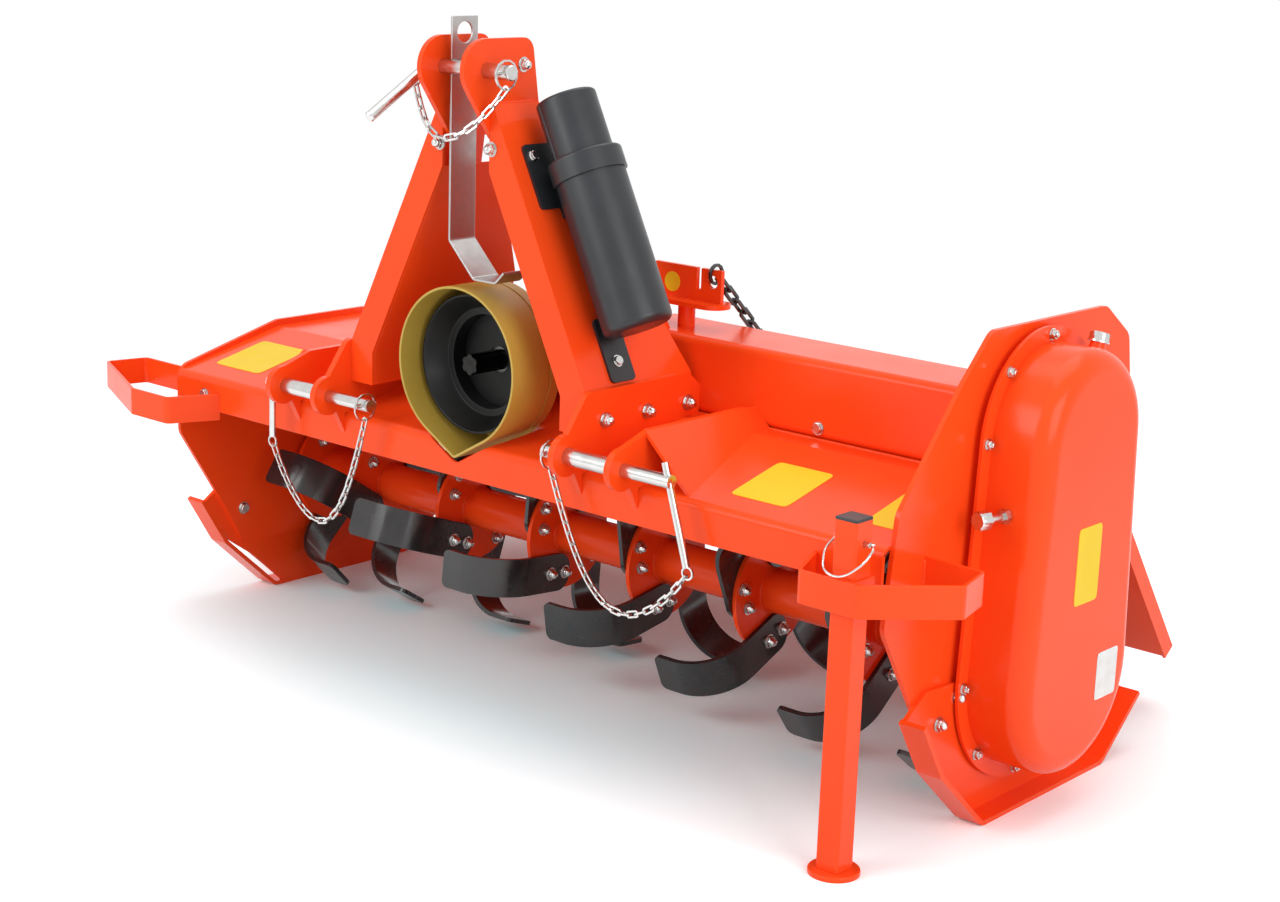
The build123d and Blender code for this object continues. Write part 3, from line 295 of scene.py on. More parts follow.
def clean(mesh, crease):
    """Merge points that coincide, turn the faces outwards and keep edges above the crease angle sharp."""
    shape = bmesh.new()
    shape.from_mesh(mesh)
    bmesh.ops.remove_doubles(shape, verts=shape.verts, dist=2e-6)
    bmesh.ops.dissolve_degenerate(shape, edges=shape.edges, dist=1e-7)
    bmesh.ops.recalc_face_normals(shape, faces=shape.faces)
    shape.to_mesh(mesh)
    shape.free()
    mesh.polygons.foreach_set("use_smooth", np.ones(len(mesh.polygons), dtype=bool))
    mesh.set_sharp_from_angle(angle=math.radians(crease))


# %% Places and directions on the machine
LIP_Y = -403.0 * MM
TO_LEFT, TO_RIGHT = (-1.0, 0.0, 0.0), (1.0, 0.0, 0.0)
TO_FRONT, TO_BACK = (0.0, -1.0, 0.0), (0.0, 1.0, 0.0)
UPWARDS = (0.0, 0.0, 1.0)
STEEP = 0.8


def point(x, depth, z):
    """Metres in the frame from millimetres across, behind the lip's face, and above the ground."""
    return np.stack(np.broadcast_arrays(x * MM, LIP_Y + np.asarray(depth) * MM, z * MM), axis=-1)


def full_turn(steps):
    """Angles of even steps once round a circle."""
    return 2 * np.pi * np.arange(steps) / steps


def square_axes(axes):
    """Each axis as a unit vector and two across it, found by crossing it with X if it is steep, else with Z."""
    axes = axes / np.linalg.norm(axes, axis=-1, keepdims=True)
    helper = np.where(np.abs(axes[..., 2:3]) > STEEP, TO_RIGHT, UPWARDS)
    across = np.cross(helper, axes)
    across /= np.linalg.norm(across, axis=-1, keepdims=True)
    return axes, across, np.cross(axes, across)


# %% Turned and six-sided shapes
def turned(profile, places, axes, sides=24):
    """Copies of a profile swept round an axis.

    A profile row is (height, radius, share of a hexagon). A hexagon's reach at an angle is its corner radius
    times cos 30 over the cosine of the angle to the nearest flat's middle.
    """
    rows = np.asarray(profile, dtype=float) * [MM, MM, 1.0]
    places = np.atleast_2d(places)
    axes, across, up_way = square_axes(np.broadcast_to(np.asarray(axes, dtype=float), places.shape))
    angle = full_turn(sides)
    flat = np.cos(np.pi / 6) / np.cos(angle % (np.pi / 3) - np.pi / 6)
    reach = rows[:, 1, None] * (1 - rows[:, 2, None] * (1 - flat))
    spokes = np.cos(angle)[:, None] * across[:, None] + np.sin(angle)[:, None] * up_way[:, None]
    heights = rows[None, :, None, 0, None] * axes[:, None, None]
    return places[:, None, None] + heights + reach[None, :, :, None] * spokes[:, None]


# %% Fastenings, in shares of their thread's size
washer_rows = [(0, 0, 0), (0, 1.12, 0), (0.18, 1.12, 0), (0.18, 0.92, 1)]
head_rows = washer_rows + [(0.66, 0.92, 1), (0.74, 0.7728, 0), (0.74, 0, 0)]
nut_rows = washer_rows + [(0.70, 0.92, 1), (0.78, 0.7728, 0)]
dome_rows = [(0.78 + 0.72 * math.sin(t), 0.72 * math.cos(t), 0) for t in np.linspace(0, np.pi / 2, 6)]
tall_nut_rows = washer_rows + [(0.90, 0.92, 1), (0.98, 0.7728, 0)]
stud_rows = [(0.98, 0.5, 0), (1.28, 0.5, 0), (1.36, 0.4, 0), (1.36, 0, 0)]


def bolt_head(size):
    """Washer and six-sided head for a thread of this size, as a profile."""
    return np.array(head_rows) * [size, size, 1.0]


def domed_nut(size):
    """Washer, six-sided nut and half-round cap: past the nut, height and radius follow a quarter circle."""
    return np.array(nut_rows + dome_rows) * [size, size, 1.0]


def stud_nut(size):
    """Washer, six-sided nut and the end of a threaded stud that stands out of it."""
    return np.array(tall_nut_rows + stud_rows) * [size, size, 1.0]


# %% [markdown]
# ## Blade bolts
# Each blade is held by two bolts through its root. Their places follow from the rotor: a blade's root stands
# at a radius from the shaft, the blade leans back from it, and the bolts lie along the blade. One formula
# with arrays for flange, half turn and bolt gives all of them at once. The capped nut goes on the side away
# from the end plates, because it is taller than the room beside the last flanges.

# %% Places of the blade bolts
ROTOR_DEPTH, ROTOR_Z = 371.0, 230.0
FLANGE_HALF, BLADE = 4.0, 8.0
ROOT_RADIUS, LEAN = 78.0, 66.0
FIRST_TURN, LAG = 123.0, 14.0
BLADE_BOLT = 11.0
BOLT_ALONG = np.array([-19.0, 19.0])
HALF_TURNS = np.array([0.0, 180.0])
inner_flanges = -560.0 + 239.0 * np.arange(6)
left_end_flange, right_end_flange = -722.0, 847.0


def bolt_places(flanges, first_number, first_turn):
    """Flange x, depth and height of every bolt: a spoke at the root's turn plus a step along the blade."""
    number = first_number + np.arange(len(flanges))
    turn = first_turn + LAG * number[:, None, None] + HALF_TURNS[None, :, None]
    spoke, along = np.radians(turn), np.radians(turn - LEAN)
    depth = ROTOR_DEPTH - ROOT_RADIUS * np.sin(spoke) - BOLT_ALONG * np.sin(along)
    height = ROTOR_Z + ROOT_RADIUS * np.cos(spoke) + BOLT_ALONG * np.cos(along)
    x = np.broadcast_to(np.asarray(flanges)[:, None, None], depth.shape)
    return np.stack([x.ravel(), depth.ravel(), height.ravel()])


# %% Nut on one side, head on the other
left_hand = bolt_places([*inner_flanges, right_end_flange], 0, FIRST_TURN)
right_hand = bolt_places([left_end_flange, *inner_flanges], -1, FIRST_TURN + 90.0)
bolt_x, bolt_depth, bolt_z = np.concatenate([left_hand, right_hand], axis=1)
blade_on_right = np.arange(bolt_x.size) < left_hand.shape[1]
right_stack = FLANGE_HALF + np.where(blade_on_right, BLADE, 0.0)
left_stack = FLANGE_HALF + np.where(blade_on_right, 0.0, BLADE)
capped_right = bolt_x < right_end_flange - 1.0
nut_x = bolt_x + np.where(capped_right, right_stack, -left_stack)
head_x = bolt_x + np.where(capped_right, -left_stack, right_stack)
nut_way = np.where(capped_right[:, None], TO_RIGHT, TO_LEFT)
make_piece("blade_bolts", [
    turned(domed_nut(BLADE_BOLT), point(nut_x, bolt_depth, bolt_z), nut_way),
    turned(bolt_head(BLADE_BOLT), point(head_x, bolt_depth, bolt_z), -nut_way),
], "zinc_plate", "rotor")

# %% [markdown]
# ## Bolts of the frame
# The chain case's flange, the lugs, the ears, the end plates and the bearing are bolted up too. Each group
# is a list of places and one direction, and the kind of fastening follows the photograph: studs with nuts
# round the chain case, capped nuts on the tower and the end plates, plain heads elsewhere.

# %% Chain case studs
CASE_TOP_Z = 595.0
CASE_FLANGE_X = 896.0
CASE_TOP_RADIUS, CASE_LOW_RADIUS = 167.0, 187.0
STUD_INSET, CASE_STUD = 13.0, 8.5
top_turn = np.radians([2.0, 46.0, 88.0, 134.0, 177.0])
low_turn = np.radians([181.0, 224.0, 267.0, 314.0, 359.0])
top_reach, low_reach = CASE_TOP_RADIUS - STUD_INSET, CASE_LOW_RADIUS - STUD_INSET
make_piece("case_studs", [
    turned(stud_nut(CASE_STUD), point(
        CASE_FLANGE_X, ROTOR_DEPTH + reach * np.cos(angle), middle_z + reach * np.sin(angle)), TO_RIGHT)
    for reach, angle, middle_z in ((top_reach, top_turn, CASE_TOP_Z), (low_reach, low_turn, ROTOR_Z))
], "zinc_plate", "frame")

# %% Bolts of the tower and its lugs
LUG_OUTSIDE, LUG_INSIDE, LUG_BOLT = 288.5, 270.5, 12.0
EAR_OUTSIDE, EAR_INSIDE, EAR_BOLT = 54.0, 44.0, 11.0
LEG_NUT_X = 60.0
lug_bolts = np.array([[50.0, 557.0], [152.0, 556.0], [254.0, 556.0]])
ear_bolt = (88.0, 1100.0)
leg_nut = (14.0, 968.0)
tower = []
for mirror, outwards, inwards in ((1.0, TO_RIGHT, TO_LEFT), (-1.0, TO_LEFT, TO_RIGHT)):
    tower += [
        turned(domed_nut(LUG_BOLT), point(mirror * LUG_OUTSIDE, *lug_bolts.T), outwards),
        turned(bolt_head(LUG_BOLT), point(mirror * LUG_INSIDE, *lug_bolts.T), inwards),
        turned(domed_nut(EAR_BOLT), point(mirror * EAR_OUTSIDE, *ear_bolt), outwards),
        turned(bolt_head(EAR_BOLT), point(mirror * EAR_INSIDE, *ear_bolt), inwards),
        turned(domed_nut(EAR_BOLT), point(mirror * LEG_NUT_X, *leg_nut), TO_FRONT),
    ]
make_piece("tower_bolts", tower, "zinc_plate", "frame")

# %% Bolts of the end plates
RIGHT_FACE, LEFT_FACE = 878.0, -753.0
PLATE, SKID, BEARING_FLANGE = 8.0, 8.0, 12.0
SKID_BOLT, HINGE_NUT, BEARING_BOLT, SHEET_BOLT = 11.0, 14.0, 9.0, 10.0
BEARING_RING = 63.5
BEAM_FRONT, BEAM_REAR = 285.0, 435.0
skid_bolts = np.array([[150.0, 180.0], [196.0, 212.0], [560.0, 180.0]])
left_skid_bolts = skid_bolts[::2]
hinge_end = (652.0, 440.0)
lip_bolt, beam_bolt = point(-667.0, 0.0, 444.0), point(537.0, BEAM_FRONT, 552.0)
bearing_turn = np.radians([45.0, 135.0, 225.0, 315.0])
bearing_places = point(
    LEFT_FACE - BEARING_FLANGE,
    ROTOR_DEPTH + BEARING_RING * np.cos(bearing_turn), ROTOR_Z + BEARING_RING * np.sin(bearing_turn))
make_piece("plate_bolts", [
    turned(domed_nut(SKID_BOLT), point(RIGHT_FACE + SKID, *skid_bolts.T), TO_RIGHT),
    turned(domed_nut(SKID_BOLT), point(LEFT_FACE - SKID, *left_skid_bolts.T), TO_LEFT),
    turned(bolt_head(SKID_BOLT), point(RIGHT_FACE - PLATE, *skid_bolts.T), TO_LEFT),
    turned(bolt_head(SKID_BOLT), point(LEFT_FACE + PLATE, *left_skid_bolts.T), TO_RIGHT),
    turned(domed_nut(HINGE_NUT), point(RIGHT_FACE, *hinge_end), TO_RIGHT),
    turned(domed_nut(HINGE_NUT), point(LEFT_FACE, *hinge_end), TO_LEFT),
    turned(bolt_head(BEARING_BOLT), bearing_places, TO_LEFT),
    turned(bolt_head(SHEET_BOLT), lip_bolt, TO_FRONT),
    turned(bolt_head(SHEET_BOLT), beam_bolt, TO_FRONT),
], "zinc_plate", "frame")

# %% Bolts of the gearbox
INPUT_Z = 603.0
GEARBOX_LEFT, GEARBOX_MIDDLE, GEARBOX_TOP = -114.0, 360.0, 706.0
NECK_DEPTH = 118.0
SIDE_RING, NECK_RING = 52.0, 78.0
SIDE_BOLT, NECK_BOLT, FILLER = 7.0, 8.0, 15.0
cap_turn = np.radians(np.arange(30.0, 390.0, 60.0))
side_places = point(
    GEARBOX_LEFT, GEARBOX_MIDDLE + SIDE_RING * np.cos(cap_turn), INPUT_Z + SIDE_RING * np.sin(cap_turn))
neck_places = point(NECK_RING * np.cos(cap_turn), NECK_DEPTH, INPUT_Z + NECK_RING * np.sin(cap_turn))
make_piece("gearbox_bolts", [
    turned(bolt_head(SIDE_BOLT), side_places, TO_LEFT),
    turned(bolt_head(NECK_BOLT), neck_places, TO_BACK),
    turned(bolt_head(FILLER), point(0.0, GEARBOX_MIDDLE, GEARBOX_TOP), UPWARDS),
], "zinc_plate", "frame")

# %% [markdown]
# ## Chain case plug and tensioner
# Oil goes into the chain case through a short neck with a six-sided plug, and a long screw through the
# front wall presses on the chain. Both are turned shapes: one profile each, from the wall outwards.

# %% Plug on its neck, and tensioner screw
PLUG_X, PLUG_RING = 930.0, 138.0
plug_turn = math.radians(55.0)
plug_way = (0.0, 0.30, 0.95)
plug_foot = point(
    PLUG_X, ROTOR_DEPTH + PLUG_RING * math.cos(plug_turn), CASE_TOP_Z + PLUG_RING * math.sin(plug_turn))
neck = [(0, 0, 0), (0, 14, 0), (14, 14, 0), (20, 12, 0), (24, 12, 0), (24, 0, 0)]
plug = [(24, 0, 0), (24, 17, 0), (27, 17, 0), (27, 15.5, 1), (38, 15.5, 1), (40, 13.5, 0),
        (41, 9, 0), (41, 0, 0)]
screw = [(0, 0, 0), (0, 12, 1), (9, 12, 1), (9, 6.5, 0), (40, 6.5, 0), (40, 15, 1), (58, 15, 1),
         (60, 12.5, 0), (60, 0, 0)]
screw_foot, tensioner_way = point(933.0, 223.0, 500.0), (-0.22, -0.975, 0.0)
make_piece("case_neck", [turned(neck, plug_foot, plug_way)], "orange_paint", "frame")
make_piece("case_plug_and_screw", [
    turned(plug, plug_foot, plug_way),
    turned(screw, screw_foot, tensioner_way),
], "zinc_plate", "frame")

# %% [markdown]
# ## Wires and weld beads
# A wire and a weld bead are both a circle carried along a path. The wire keeps its radius. A bead swells
# once per drop of metal, and at a loose end it closes to a point. Paths are given by a few points and
# sampled evenly along their length, so that the ripples come out the same size everywhere.

# %% Carry a circle along a path
SWELL = 0.14


def carried(path, radius, closed=False, ripple=0.0, step=1.6 * MM, sides=10):
    """A tube: at each even step along the path a circle stands square to it.

    With a ripple its radius is the given one times 1 + swell cos(2 pi length / ripple). Towards a loose end
    it falls to nothing as a quarter circle does.
    """
    path = np.asarray(path, dtype=float)
    if closed:
        path = np.vstack([path, path[:1]])
    along = np.concatenate([[0.0], np.cumsum(np.linalg.norm(np.diff(path, axis=0), axis=1))])
    count = max(4, int(round(along[-1] / step)) + 1)
    length = np.linspace(0.0, along[-1], count)
    line = np.stack([np.interp(length, along, path[:, k]) for k in range(3)], axis=-1)
    if closed:
        chord = np.roll(line[:-1], -1, axis=0) - np.roll(line[:-1], 1, axis=0)
        way = np.vstack([chord, chord[:1]])
    else:
        way = np.gradient(line, axis=0)
    _, across, up_way = square_axes(way)
    swell = np.full(count, radius)
    if ripple:
        swell = swell * (1 + SWELL * np.cos(2 * np.pi * length / ripple))
    if not closed:
        to_end = np.clip(np.minimum(length, along[-1] - length) / radius, 0.0, 1.0)
        swell = swell * np.sqrt(to_end * (2 - to_end))
    angle = full_turn(sides)
    ring = np.cos(angle)[:, None] * across[:, None] + np.sin(angle)[:, None] * up_way[:, None]
    return (line[:, None] + swell[:, None, None] * ring)[None]


def rounded(points, samples=12):
    """A smooth closed line through points: each stretch is a cubic that leaves along the neighbours' chord."""
    p = np.asarray(points, dtype=float)[:, None]
    a, b, n = (np.roll(p, shift, axis=0) for shift in (1, -1, -2))
    t = np.linspace(0.0, 1.0, samples, endpoint=False)[None, :, None]
    cubic = 2 * p + (b - a) * t + (2 * a - 5 * p + 4 * b - n) * t**2 + (3 * p - a - 3 * b + n) * t**3
    return (0.5 * cubic).reshape(-1, 3)


# %% Spring wire of the stand's lock pin
WIRE = 1.7 * MM
lock_wire = np.array([
    (891.0, -62.0, 502.0), (903.0, -74.0, 500.0), (898.0, -90.0, 482.0), (876.0, -96.0, 463.0),
    (853.0, -96.0, 457.0), (834.0, -92.0, 464.0), (825.0, -78.0, 486.0), (829.0, -62.0, 502.0),
    (826.0, -58.0, 505.0), (829.0, -54.0, 502.0), (860.0, -37.0, 497.0), (891.0, -54.0, 502.0),
])
make_piece("lock_wire", [carried(rounded(point(*lock_wire.T)), WIRE, closed=True)], "zinc_plate", "stand")

# %% Weld beads of the rotor
BEAD, RIPPLE, BEAD_CREASE = 3.0 * MM, 5.5 * MM, 80.0
TUBE_RADIUS = 38.5


def round_shaft(x, radius):
    """A circle about the rotor's shaft, at one place along it."""
    turn = full_turn(90)
    return point(x, ROTOR_DEPTH + radius * np.cos(turn), ROTOR_Z + radius * np.sin(turn))


rotor_beads = [
    carried(round_shaft(x + face, TUBE_RADIUS), BEAD, closed=True, ripple=RIPPLE, step=2.0 * MM, sides=8)
    for x in [left_end_flange, *inner_flanges, right_end_flange] for face in (-FLANGE_HALF, FLANGE_HALF)
]
make_piece("rotor_welds", rotor_beads, "orange_paint", "rotor", crease=BEAD_CREASE)

# %% Weld beads of the frame
ROOF_Z, BEAM_TOP = 533.0, 661.0
BEAM_CORNER = 7.0
OUTER_LUG_FACES = (394.5, 406.5)
EAR_FOOT_Z = 1040.0
LOOP_DEPTH, LOOP_LOW, LOOP_HIGH = 96.0, 404.0, 448.0
slope_line = [(14.0, 480.0), (238.0, 532.6), (280.0, ROOF_Z)]
plate_inside = RIGHT_FACE - PLATE
beam_top_ends = (BEAM_FRONT + BEAM_CORNER, BEAM_REAR - BEAM_CORNER)
weld_lines = [[(plate_inside, depth, BEAM_TOP) for depth in beam_top_ends]]
for mirror in (1.0, -1.0):
    for x in OUTER_LUG_FACES:
        weld_lines.append([(mirror * x, depth, z) for depth, z in slope_line])
    weld_lines.append([(mirror * EAR_OUTSIDE, depth, EAR_FOOT_Z) for depth in (20.0, 112.0)])
for depth in (BEAM_FRONT, BEAM_REAR):
    weld_lines.append([(plate_inside, depth, z) for z in (540.0, 650.0)])
    weld_lines.append([(x, depth, ROOF_Z) for x in (120.0, 862.0)])
for face in (RIGHT_FACE, LEFT_FACE):
    weld_lines.append([(face, LOOP_DEPTH, z) for z in (LOOP_LOW, LOOP_HIGH)])
beads = [carried(point(*np.array(line).T), BEAD, ripple=RIPPLE, sides=8) for line in weld_lines]
make_piece("frame_welds", beads, "orange_paint", "frame", crease=BEAD_CREASE)

# %% [markdown]
# ## Plain patches
# The machine carries a few stuck-on patches. Here they are plain sheets with round corners: a superellipse
# gives the outline, and rings of points at the foot, at the edge and at the top close the sheet.

# %% A sheet with round corners
across_x, back_y, up_z = np.eye(3)
SLOPE_FOOT_Z, SLOPE_RUN, SLOPE_RISE = 477.0, 240.0, 56.0
SLOPE_LIFT = 0.2
slope = np.array([0.0, SLOPE_RUN, SLOPE_RISE])
slope /= np.linalg.norm(slope)


def patch(middle, across, up_way, width, height, square=14.0, thickness=0.7 * MM):
    """A thin sheet: |x/a|^n + |y/b|^n = 1 from its foot to its top, round for n = 2, square for a large n.

    Its rings run from the middle of the foot out to the edge, up it, a little in, and to the top's middle.
    """
    angle = full_turn(72)
    wide, tall = (np.sign(wave) * np.abs(wave) ** (2 / square) for wave in (np.cos(angle), np.sin(angle)))
    edge = 0.5 * MM * (width * wide[:, None] * across + height * tall[:, None] * up_way)
    out = thickness * np.cross(across, up_way)
    share = np.array([0.0, 1.0, 1.0, 0.997, 0.0])[:, None, None]
    lift = np.array([0.0, 0.0, 0.8, 1.0, 1.0])[:, None, None]
    return (middle + share * edge + lift * out)[None]


def on_slope(x, depth, width, length):
    """A patch that lies on the deck's slope, its middle this far behind the lip."""
    z = SLOPE_FOOT_Z + depth * SLOPE_RISE / SLOPE_RUN + SLOPE_LIFT
    return patch(point(x, depth, z), across_x, slope, width, length)


# %% Patches of the deck, the chain case and the bracket
COVER_FACE_X = 994.0
PATCH_CREASE = 12.0
make_piece("yellow_patches", [
    on_slope(603.0, 110.0, 108.0, 126.0),
    on_slope(-640.0, 112.0, 128.0, 122.0),
    on_slope(828.0, 118.0, 74.0, 116.0),
    patch(point(COVER_FACE_X, 368.0, 409.0), back_y, up_z, 68.0, 122.0),
    patch(point(166.0, 349.9, 733.0), across_x, up_z, 34.0, 34.0, square=2.0),
], "yellow_plastic", "frame", paint=yellow_patch, crease=PATCH_CREASE)
make_piece("data_plate", [
    patch(point(COVER_FACE_X, 453.0, 215.0), back_y, up_z, 62.0, 78.0),
], "zinc_plate", "frame", crease=PATCH_CREASE)

# %% [markdown]
# ## Inner webs of the tower and the left skid's web
# A leg is a channel: two webs behind one front flange. The frame's solids have the outer web and the flange,
# so the inner web is a plate that runs down behind the flange's inner edge and reaches further back. The left
# skid has one more plate, which closes it under the end plate. Both are four-sided bands: at each step along
# them the two faces and the two edges make one ring of four points.

# %% Plates as bands
WEB_CREASE = 20.0


def band(faces, depths, heights):
    """A plate between two faces x: rings of four corners along it, each end closed on its ring's middle.

    A corner takes its x from one of the faces, and its depth and height from the low or the high edge.
    """
    corners = ((0, 0), (0, 1), (1, 1), (1, 0))
    ring = np.stack([point(faces[f], depths[e], heights[e]) for f, e in corners], axis=1)
    ends = ring.mean(axis=1, keepdims=True).repeat(4, axis=1)
    return np.concatenate([ends[:1], ring, ends[-1:]])[None]


# %% Inner webs of the two legs
WEB, WEB_FRONT = 6.0, 20.2
FLANGE_WIDTH = 54.0
leg_foot, leg_head = np.array([276.5, 603.0]), np.array([60.0, EAR_FOOT_Z])
web_z = np.array([ROOF_Z, 590.4, 603.0, 661.0, 707.0, 800.0, 930.0])
web_back = np.interp(web_z, [533.0, 603.0, 707.0, 930.0], [330.0, 330.0, 306.0, 150.0])
leg_lean = (leg_foot[0] - leg_head[0]) / (leg_head[1] - leg_foot[1])
flange_edge = leg_foot[0] - FLANGE_WIDTH * math.hypot(1.0, leg_lean) - leg_lean * (web_z - leg_foot[1])
web_x = np.minimum(leg_foot[0] - FLANGE_WIDTH, flange_edge)
leg_webs = make_piece("leg_inner_webs", [
    band((mirror * web_x, mirror * (web_x + WEB)), (WEB_FRONT, web_back), (web_z, web_z))
    for mirror in (1.0, -1.0)
], "orange_paint", "frame", crease=WEB_CREASE)
round_edges(leg_webs, EDGE)

# %% Web of the left skid
RELIEF_RADIUS, RELIEF_HALF, SKID_WEB_TOP = 183.0, 137.0, 116.0
skid_faces = (LEFT_FACE - 7.0, LEFT_FACE - 1.0)
relief = np.linspace(-RELIEF_HALF, RELIEF_HALF, 25)
relief_low = ROTOR_Z - np.sqrt(RELIEF_RADIUS**2 - relief**2)
relief_depth = ROTOR_DEPTH + relief
left_web = make_piece("left_skid_web", [
    band(skid_faces, (relief_depth, relief_depth), (relief_low, SKID_WEB_TOP)),
], "orange_paint", "frame", crease=WEB_CREASE)
round_edges(left_web, EDGE)

# %% [markdown]
# ## Top pin
# The top link's pin has a stout round handle that hangs forward from its left end. It could be the plain pin
# of the frame, but its handle shows against the white room, so it is turned here at its full thickness and
# slant, with the small ring that carries the chain.

# %% Pin with its handle and ring
PIN_DEPTH, PIN_Z, PIN_LEFT, HANDLE_X = 5.0, 1093.0, -86.0, -77.0
RING_X, RING_DEPTH, RING_Z, RING_RADIUS = -80.0, -22.4, 1069.8, 9.5
handle_lean = math.radians(31.0)
handle_way = (0.0, -math.cos(handle_lean), -math.sin(handle_lean))
pin_rod = [(0, 0, 0), (0, 11, 0), (1.5, 12.5, 0), (196.5, 12.5, 0), (198, 11, 0), (198, 0, 0)]
handle_rod = [(0, 0, 0), (0, 9, 0), (152, 9, 0), (154, 7, 0), (154, 0, 0)]
ring_turn = full_turn(36)
ring_path = point(
    RING_X, RING_DEPTH + RING_RADIUS * np.cos(ring_turn), RING_Z + RING_RADIUS * np.sin(ring_turn))
top_pin = make_piece("top_pin_and_handle", [
    turned(pin_rod, point(PIN_LEFT, PIN_DEPTH, PIN_Z), TO_RIGHT, sides=48),
    turned(handle_rod, point(HANDLE_X, PIN_DEPTH, PIN_Z), handle_way, sides=36),
    carried(ring_path, 1.5 * MM, closed=True),
], "zinc_plate", "frame")
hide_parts("top_pin")

# %% [markdown]
# ## Document tube
# The cap of the tube has a raised rib where its two halves were moulded, and the clips' feet are screwed to
# the leg. The rib is one more circle carried along a line, half sunk into the cap.

# %% Rib of the cap and screws of the clips
TUBE_OUT, TUBE_DEPTH, CAP_RADIUS = 69.0, 107.0, 50.0
CAP_FOOT_DOWN, CAP_TOP_DOWN = 119.0, 25.0
CLIP_SCREW, CLIP_FACE = 9.0, 5.0
leg_run = leg_head - leg_foot
leg_length = np.linalg.norm(leg_run)
leg_run = leg_run / leg_length
leg_normal = np.array([leg_run[1], -leg_run[0]])


def on_leg(along, depth, out):
    """A point this far up the leg from its knee, behind the lip, and out from the leg's face."""
    x, z = leg_foot + along * leg_run + out * leg_normal
    return point(x, depth, z)


rib_turn = math.radians(250.0)
rib_depth = TUBE_DEPTH + CAP_RADIUS * math.sin(rib_turn)
rib_out = TUBE_OUT + CAP_RADIUS * math.cos(rib_turn)
rib = [on_leg(leg_length - down, rib_depth, rib_out) for down in (CAP_FOOT_DOWN, CAP_TOP_DOWN)]
make_piece("cap_rib", [carried(rib, 1.6 * MM)], "black_plastic", "frame")
screw_way = (leg_normal[0], 0.0, leg_normal[1])
make_piece("clip_screws", [
    turned(bolt_head(CLIP_SCREW), on_leg(395.0, 62.0, CLIP_FACE), screw_way),
    turned(bolt_head(CLIP_SCREW), on_leg(41.0, 104.0, CLIP_FACE), screw_way),
], "zinc_plate", "frame")

# %% [markdown]
# ## Disc in the bell
# The black bell round the input shaft is closed at its back by a flat disc with a hole for the shaft. A disc
# with a hole is a turned shape too: its profile is a small rectangle that ends where it starts.

# %% Disc behind the input shaft
DISC_DEPTH = 101.5
disc = [(0, 23, 0), (0, 79.5, 0), (3, 79.5, 0), (3, 23, 0), (0, 23, 0)]
# The disc takes the bell's darker finish, which is painted shade for the back of the bell.
make_piece("bell_disc", [
    turned(disc, point(0.0, DISC_DEPTH, INPUT_Z), TO_FRONT, sides=72),
], "black_plastic", "frame", paint=bell_plastic_painted_shade)

# %% [markdown]
# ## Chain of the rear board
# One end of this chain hangs on the bracket, the other on the board. When the board lifts, the chain has to
# follow it. Here a copy of the chain, with its points merged and its edges rounded, takes the place of the
# frame's chain. It is not tied to either body.

# %% Copy the board's chain
chain_node = frame["nodes"]["board_chain"]
chain_mesh = chain_node.data.copy()
chain_mesh.transform(chain_node.matrix_world)
clean(chain_mesh, SHARP)
chain = bpy.data.objects.new("lifting_chain", chain_mesh)
bpy.context.scene.collection.objects.link(chain)
round_edges(chain, FINE_EDGE)
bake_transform(chain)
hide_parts("board_chain")

# %% [markdown]
# ## Floor and light
# The floor is pale and matt so that it takes a soft shadow, and it fades into white light far from the
# machine. Where the orange hood throws its colour down, a cool tint is painted into the floor where the
# camera sees it. This painted shade colour keeps the shadow grey. The room is a white tent: it lights the
# machine evenly, and the camera and every reflection see it as white. Three large softboxes give the paint
# its broad highlights.


# %% Two measures for the floor and the room
def seen_rays(tree):
    """1 for a ray of the camera's, straight or by way of a mirror or glass, and 0 for one that lights."""
    path = tree.nodes.new("ShaderNodeLightPath")
    seen = path.outputs["Is Camera Ray"]
    for ray in ("Is Glossy Ray", "Is Transmission Ray"):
        either = tree.nodes.new("ShaderNodeMath")
        either.operation = "MAXIMUM"
        tree.links.new(seen, either.inputs[0])
        tree.links.new(path.outputs[ray], either.inputs[1])
        seen = either.outputs["Value"]
    return seen


def far_share(tree, scale, span):
    """0 under the machine and 1 far from it: a smooth step over the span of the scaled distance."""
    place = tree.nodes.new("ShaderNodeTexCoord")
    scaled, length = (tree.nodes.new("ShaderNodeVectorMath") for _ in range(2))
    scaled.operation, length.operation = "MULTIPLY", "LENGTH"
    scaled.inputs[1].default_value = scale
    step = tree.nodes.new("ShaderNodeMapRange")
    step.interpolation_type = "SMOOTHSTEP"
    step.inputs["From Min"].default_value, step.inputs["From Max"].default_value = span
    tree.links.new(place.outputs["Object"], scaled.inputs[0])
    tree.links.new(scaled.outputs["Vector"], length.inputs[0])
    tree.links.new(length.outputs["Value"], step.inputs["Value"])
    return step.outputs["Result"]


# %% Floor
FLOOR_HALF = 40.0
FADE, FADE_SCALE = (1.6, 4.5), (1.0, 1.0, 1.0)
SHADE, SHADE_SCALE = (0.30, 0.80), (0.6, 1.0, 1.0)
BOUNCED = (0.80, 0.80, 0.80, 1.0)
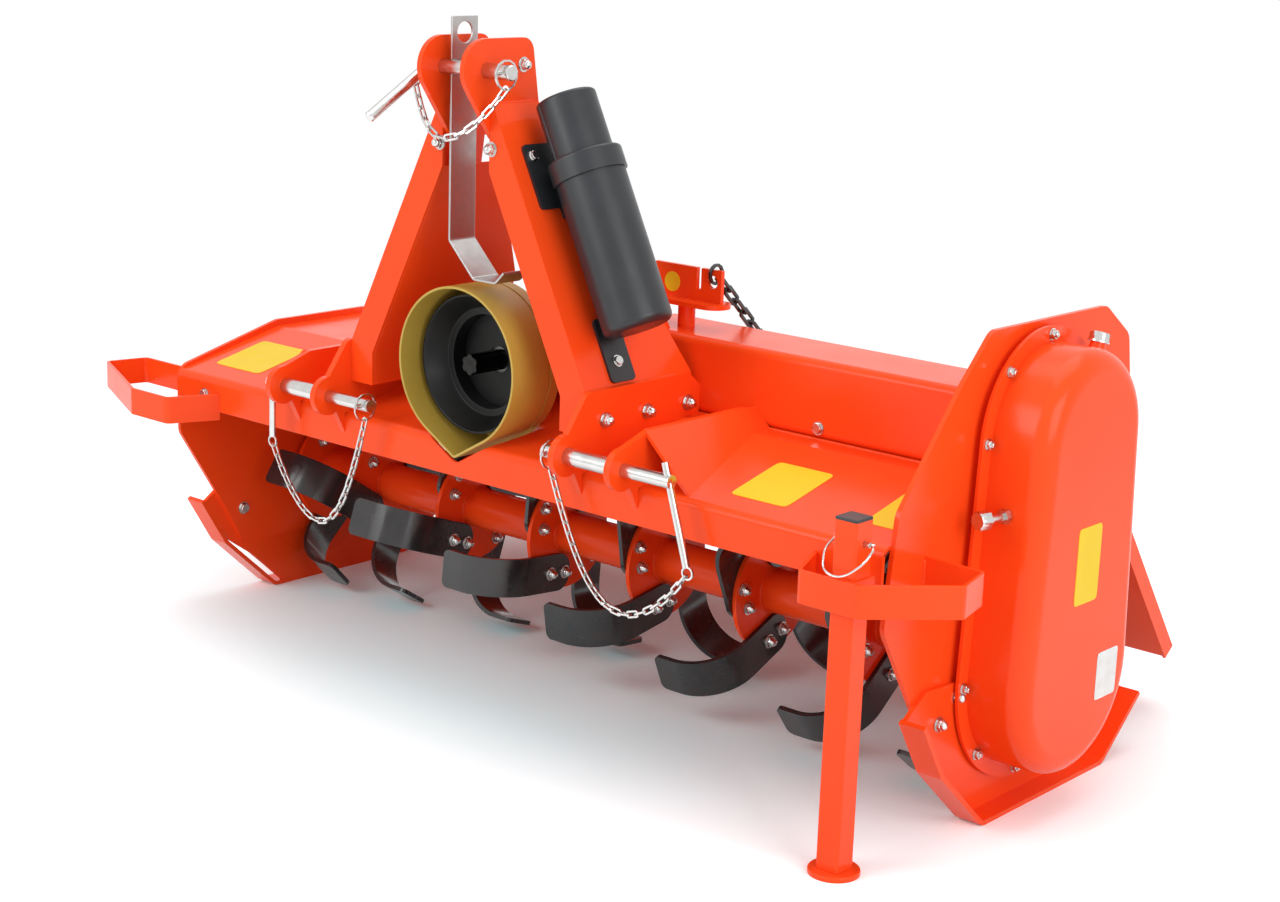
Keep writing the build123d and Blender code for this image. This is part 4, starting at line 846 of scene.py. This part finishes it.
# Painted shade colour: under the machine the floor is tinted cool to cancel the orange light the hood bounces
# into its shadow, and farther off the camera sees it plain and bright.
PAINTED_COOL_SHADOW_TINT, OPEN_TINT = (0.92, 1.22, 1.26, 1.0), (1.27, 1.30, 1.31, 1.0)
corners = np.array([[-1, -1, 0], [1, -1, 0], [1, 1, 0], [-1, 1, 0]]) * FLOOR_HALF
floor_mesh = bpy.data.meshes.new("floor")
floor_mesh.from_pydata(corners.tolist(), [], [(0, 1, 2, 3)])
floor = bpy.data.objects.new("floor", floor_mesh)
bpy.context.scene.collection.objects.link(floor)
floor_paint = bpy.data.materials.new("white_floor")
floor_paint.use_nodes = True
tree = floor_paint.node_tree
tree.nodes.remove(tree.nodes["Principled BSDF"])
bounced, shown = (tree.nodes.new("ShaderNodeBsdfDiffuse") for _ in range(2))
bounced.inputs["Color"].default_value = BOUNCED
# This mix paints the cool shadow tint under the machine and the plain bright colour farther off.
tint = tree.nodes.new("ShaderNodeMix")
tint.data_type = "RGBA"
tint.inputs[FIRST].default_value = PAINTED_COOL_SHADOW_TINT
tint.inputs[SECOND].default_value = OPEN_TINT
glow = tree.nodes.new("ShaderNodeEmission")
matt, faded = (tree.nodes.new("ShaderNodeMixShader") for _ in range(2))
for source, target in (
    (far_share(tree, SHADE_SCALE, SHADE), tint.inputs["Factor"]),
    (tint.outputs[MIXED], shown.inputs["Color"]),
    (seen_rays(tree), matt.inputs["Fac"]),
    (bounced.outputs["BSDF"], matt.inputs[1]),
    (shown.outputs["BSDF"], matt.inputs[2]),
    (far_share(tree, FADE_SCALE, FADE), faded.inputs["Fac"]),
    (matt.outputs["Shader"], faded.inputs[1]),
    (glow.outputs["Emission"], faded.inputs[2]),
    (faded.outputs["Shader"], tree.nodes["Material Output"].inputs["Surface"]),
):
    tree.links.new(source, target)
floor_mesh.materials.append(floor_paint)
print("floor fades to white from", FADE[0], "to", FADE[1], "metres")

# %% White room
TENT = 0.62
world = bpy.data.worlds.new("white_room")
world.use_nodes = True
bpy.context.scene.world = world
tree = world.node_tree
background = tree.nodes["Background"]
background.inputs["Color"].default_value = (1.0, 1.0, 1.0, 1.0)
strength = tree.nodes.new("ShaderNodeMapRange")
strength.inputs["To Min"].default_value = TENT
strength.inputs["To Max"].default_value = 1.0
tree.links.new(seen_rays(tree), strength.inputs["Value"])
tree.links.new(strength.outputs["Result"], background.inputs["Strength"])
print("white room at", TENT)


# %% Softboxes
def softbox(name, place, aim, size, power):
    """A square lamp at a place, turned so that its face looks at the aim."""
    light = bpy.data.lights.new(name, "AREA")
    light.size = size
    light.energy = power
    lamp = bpy.data.objects.new(name, light)
    bpy.context.scene.collection.objects.link(lamp)
    ahead = Vector(aim) - Vector(place)
    lamp.matrix_world = Matrix.Translation(place) @ ahead.to_track_quat("-Z", "Y").to_matrix().to_4x4()
    print(name, power, "watts")


machine_middle = (0.1, 0.0, 0.5)
softbox("front_light", (-1.2, -4.0, 2.6), machine_middle, 2.4, 75.0)
softbox("right_light", (4.4, -1.2, 2.0), machine_middle, 2.6, 70.0)
softbox("top_light", (0.4, 0.6, 4.2), machine_middle, 3.2, 55.0)
bpy.context.scene.view_settings.view_transform = "Standard"
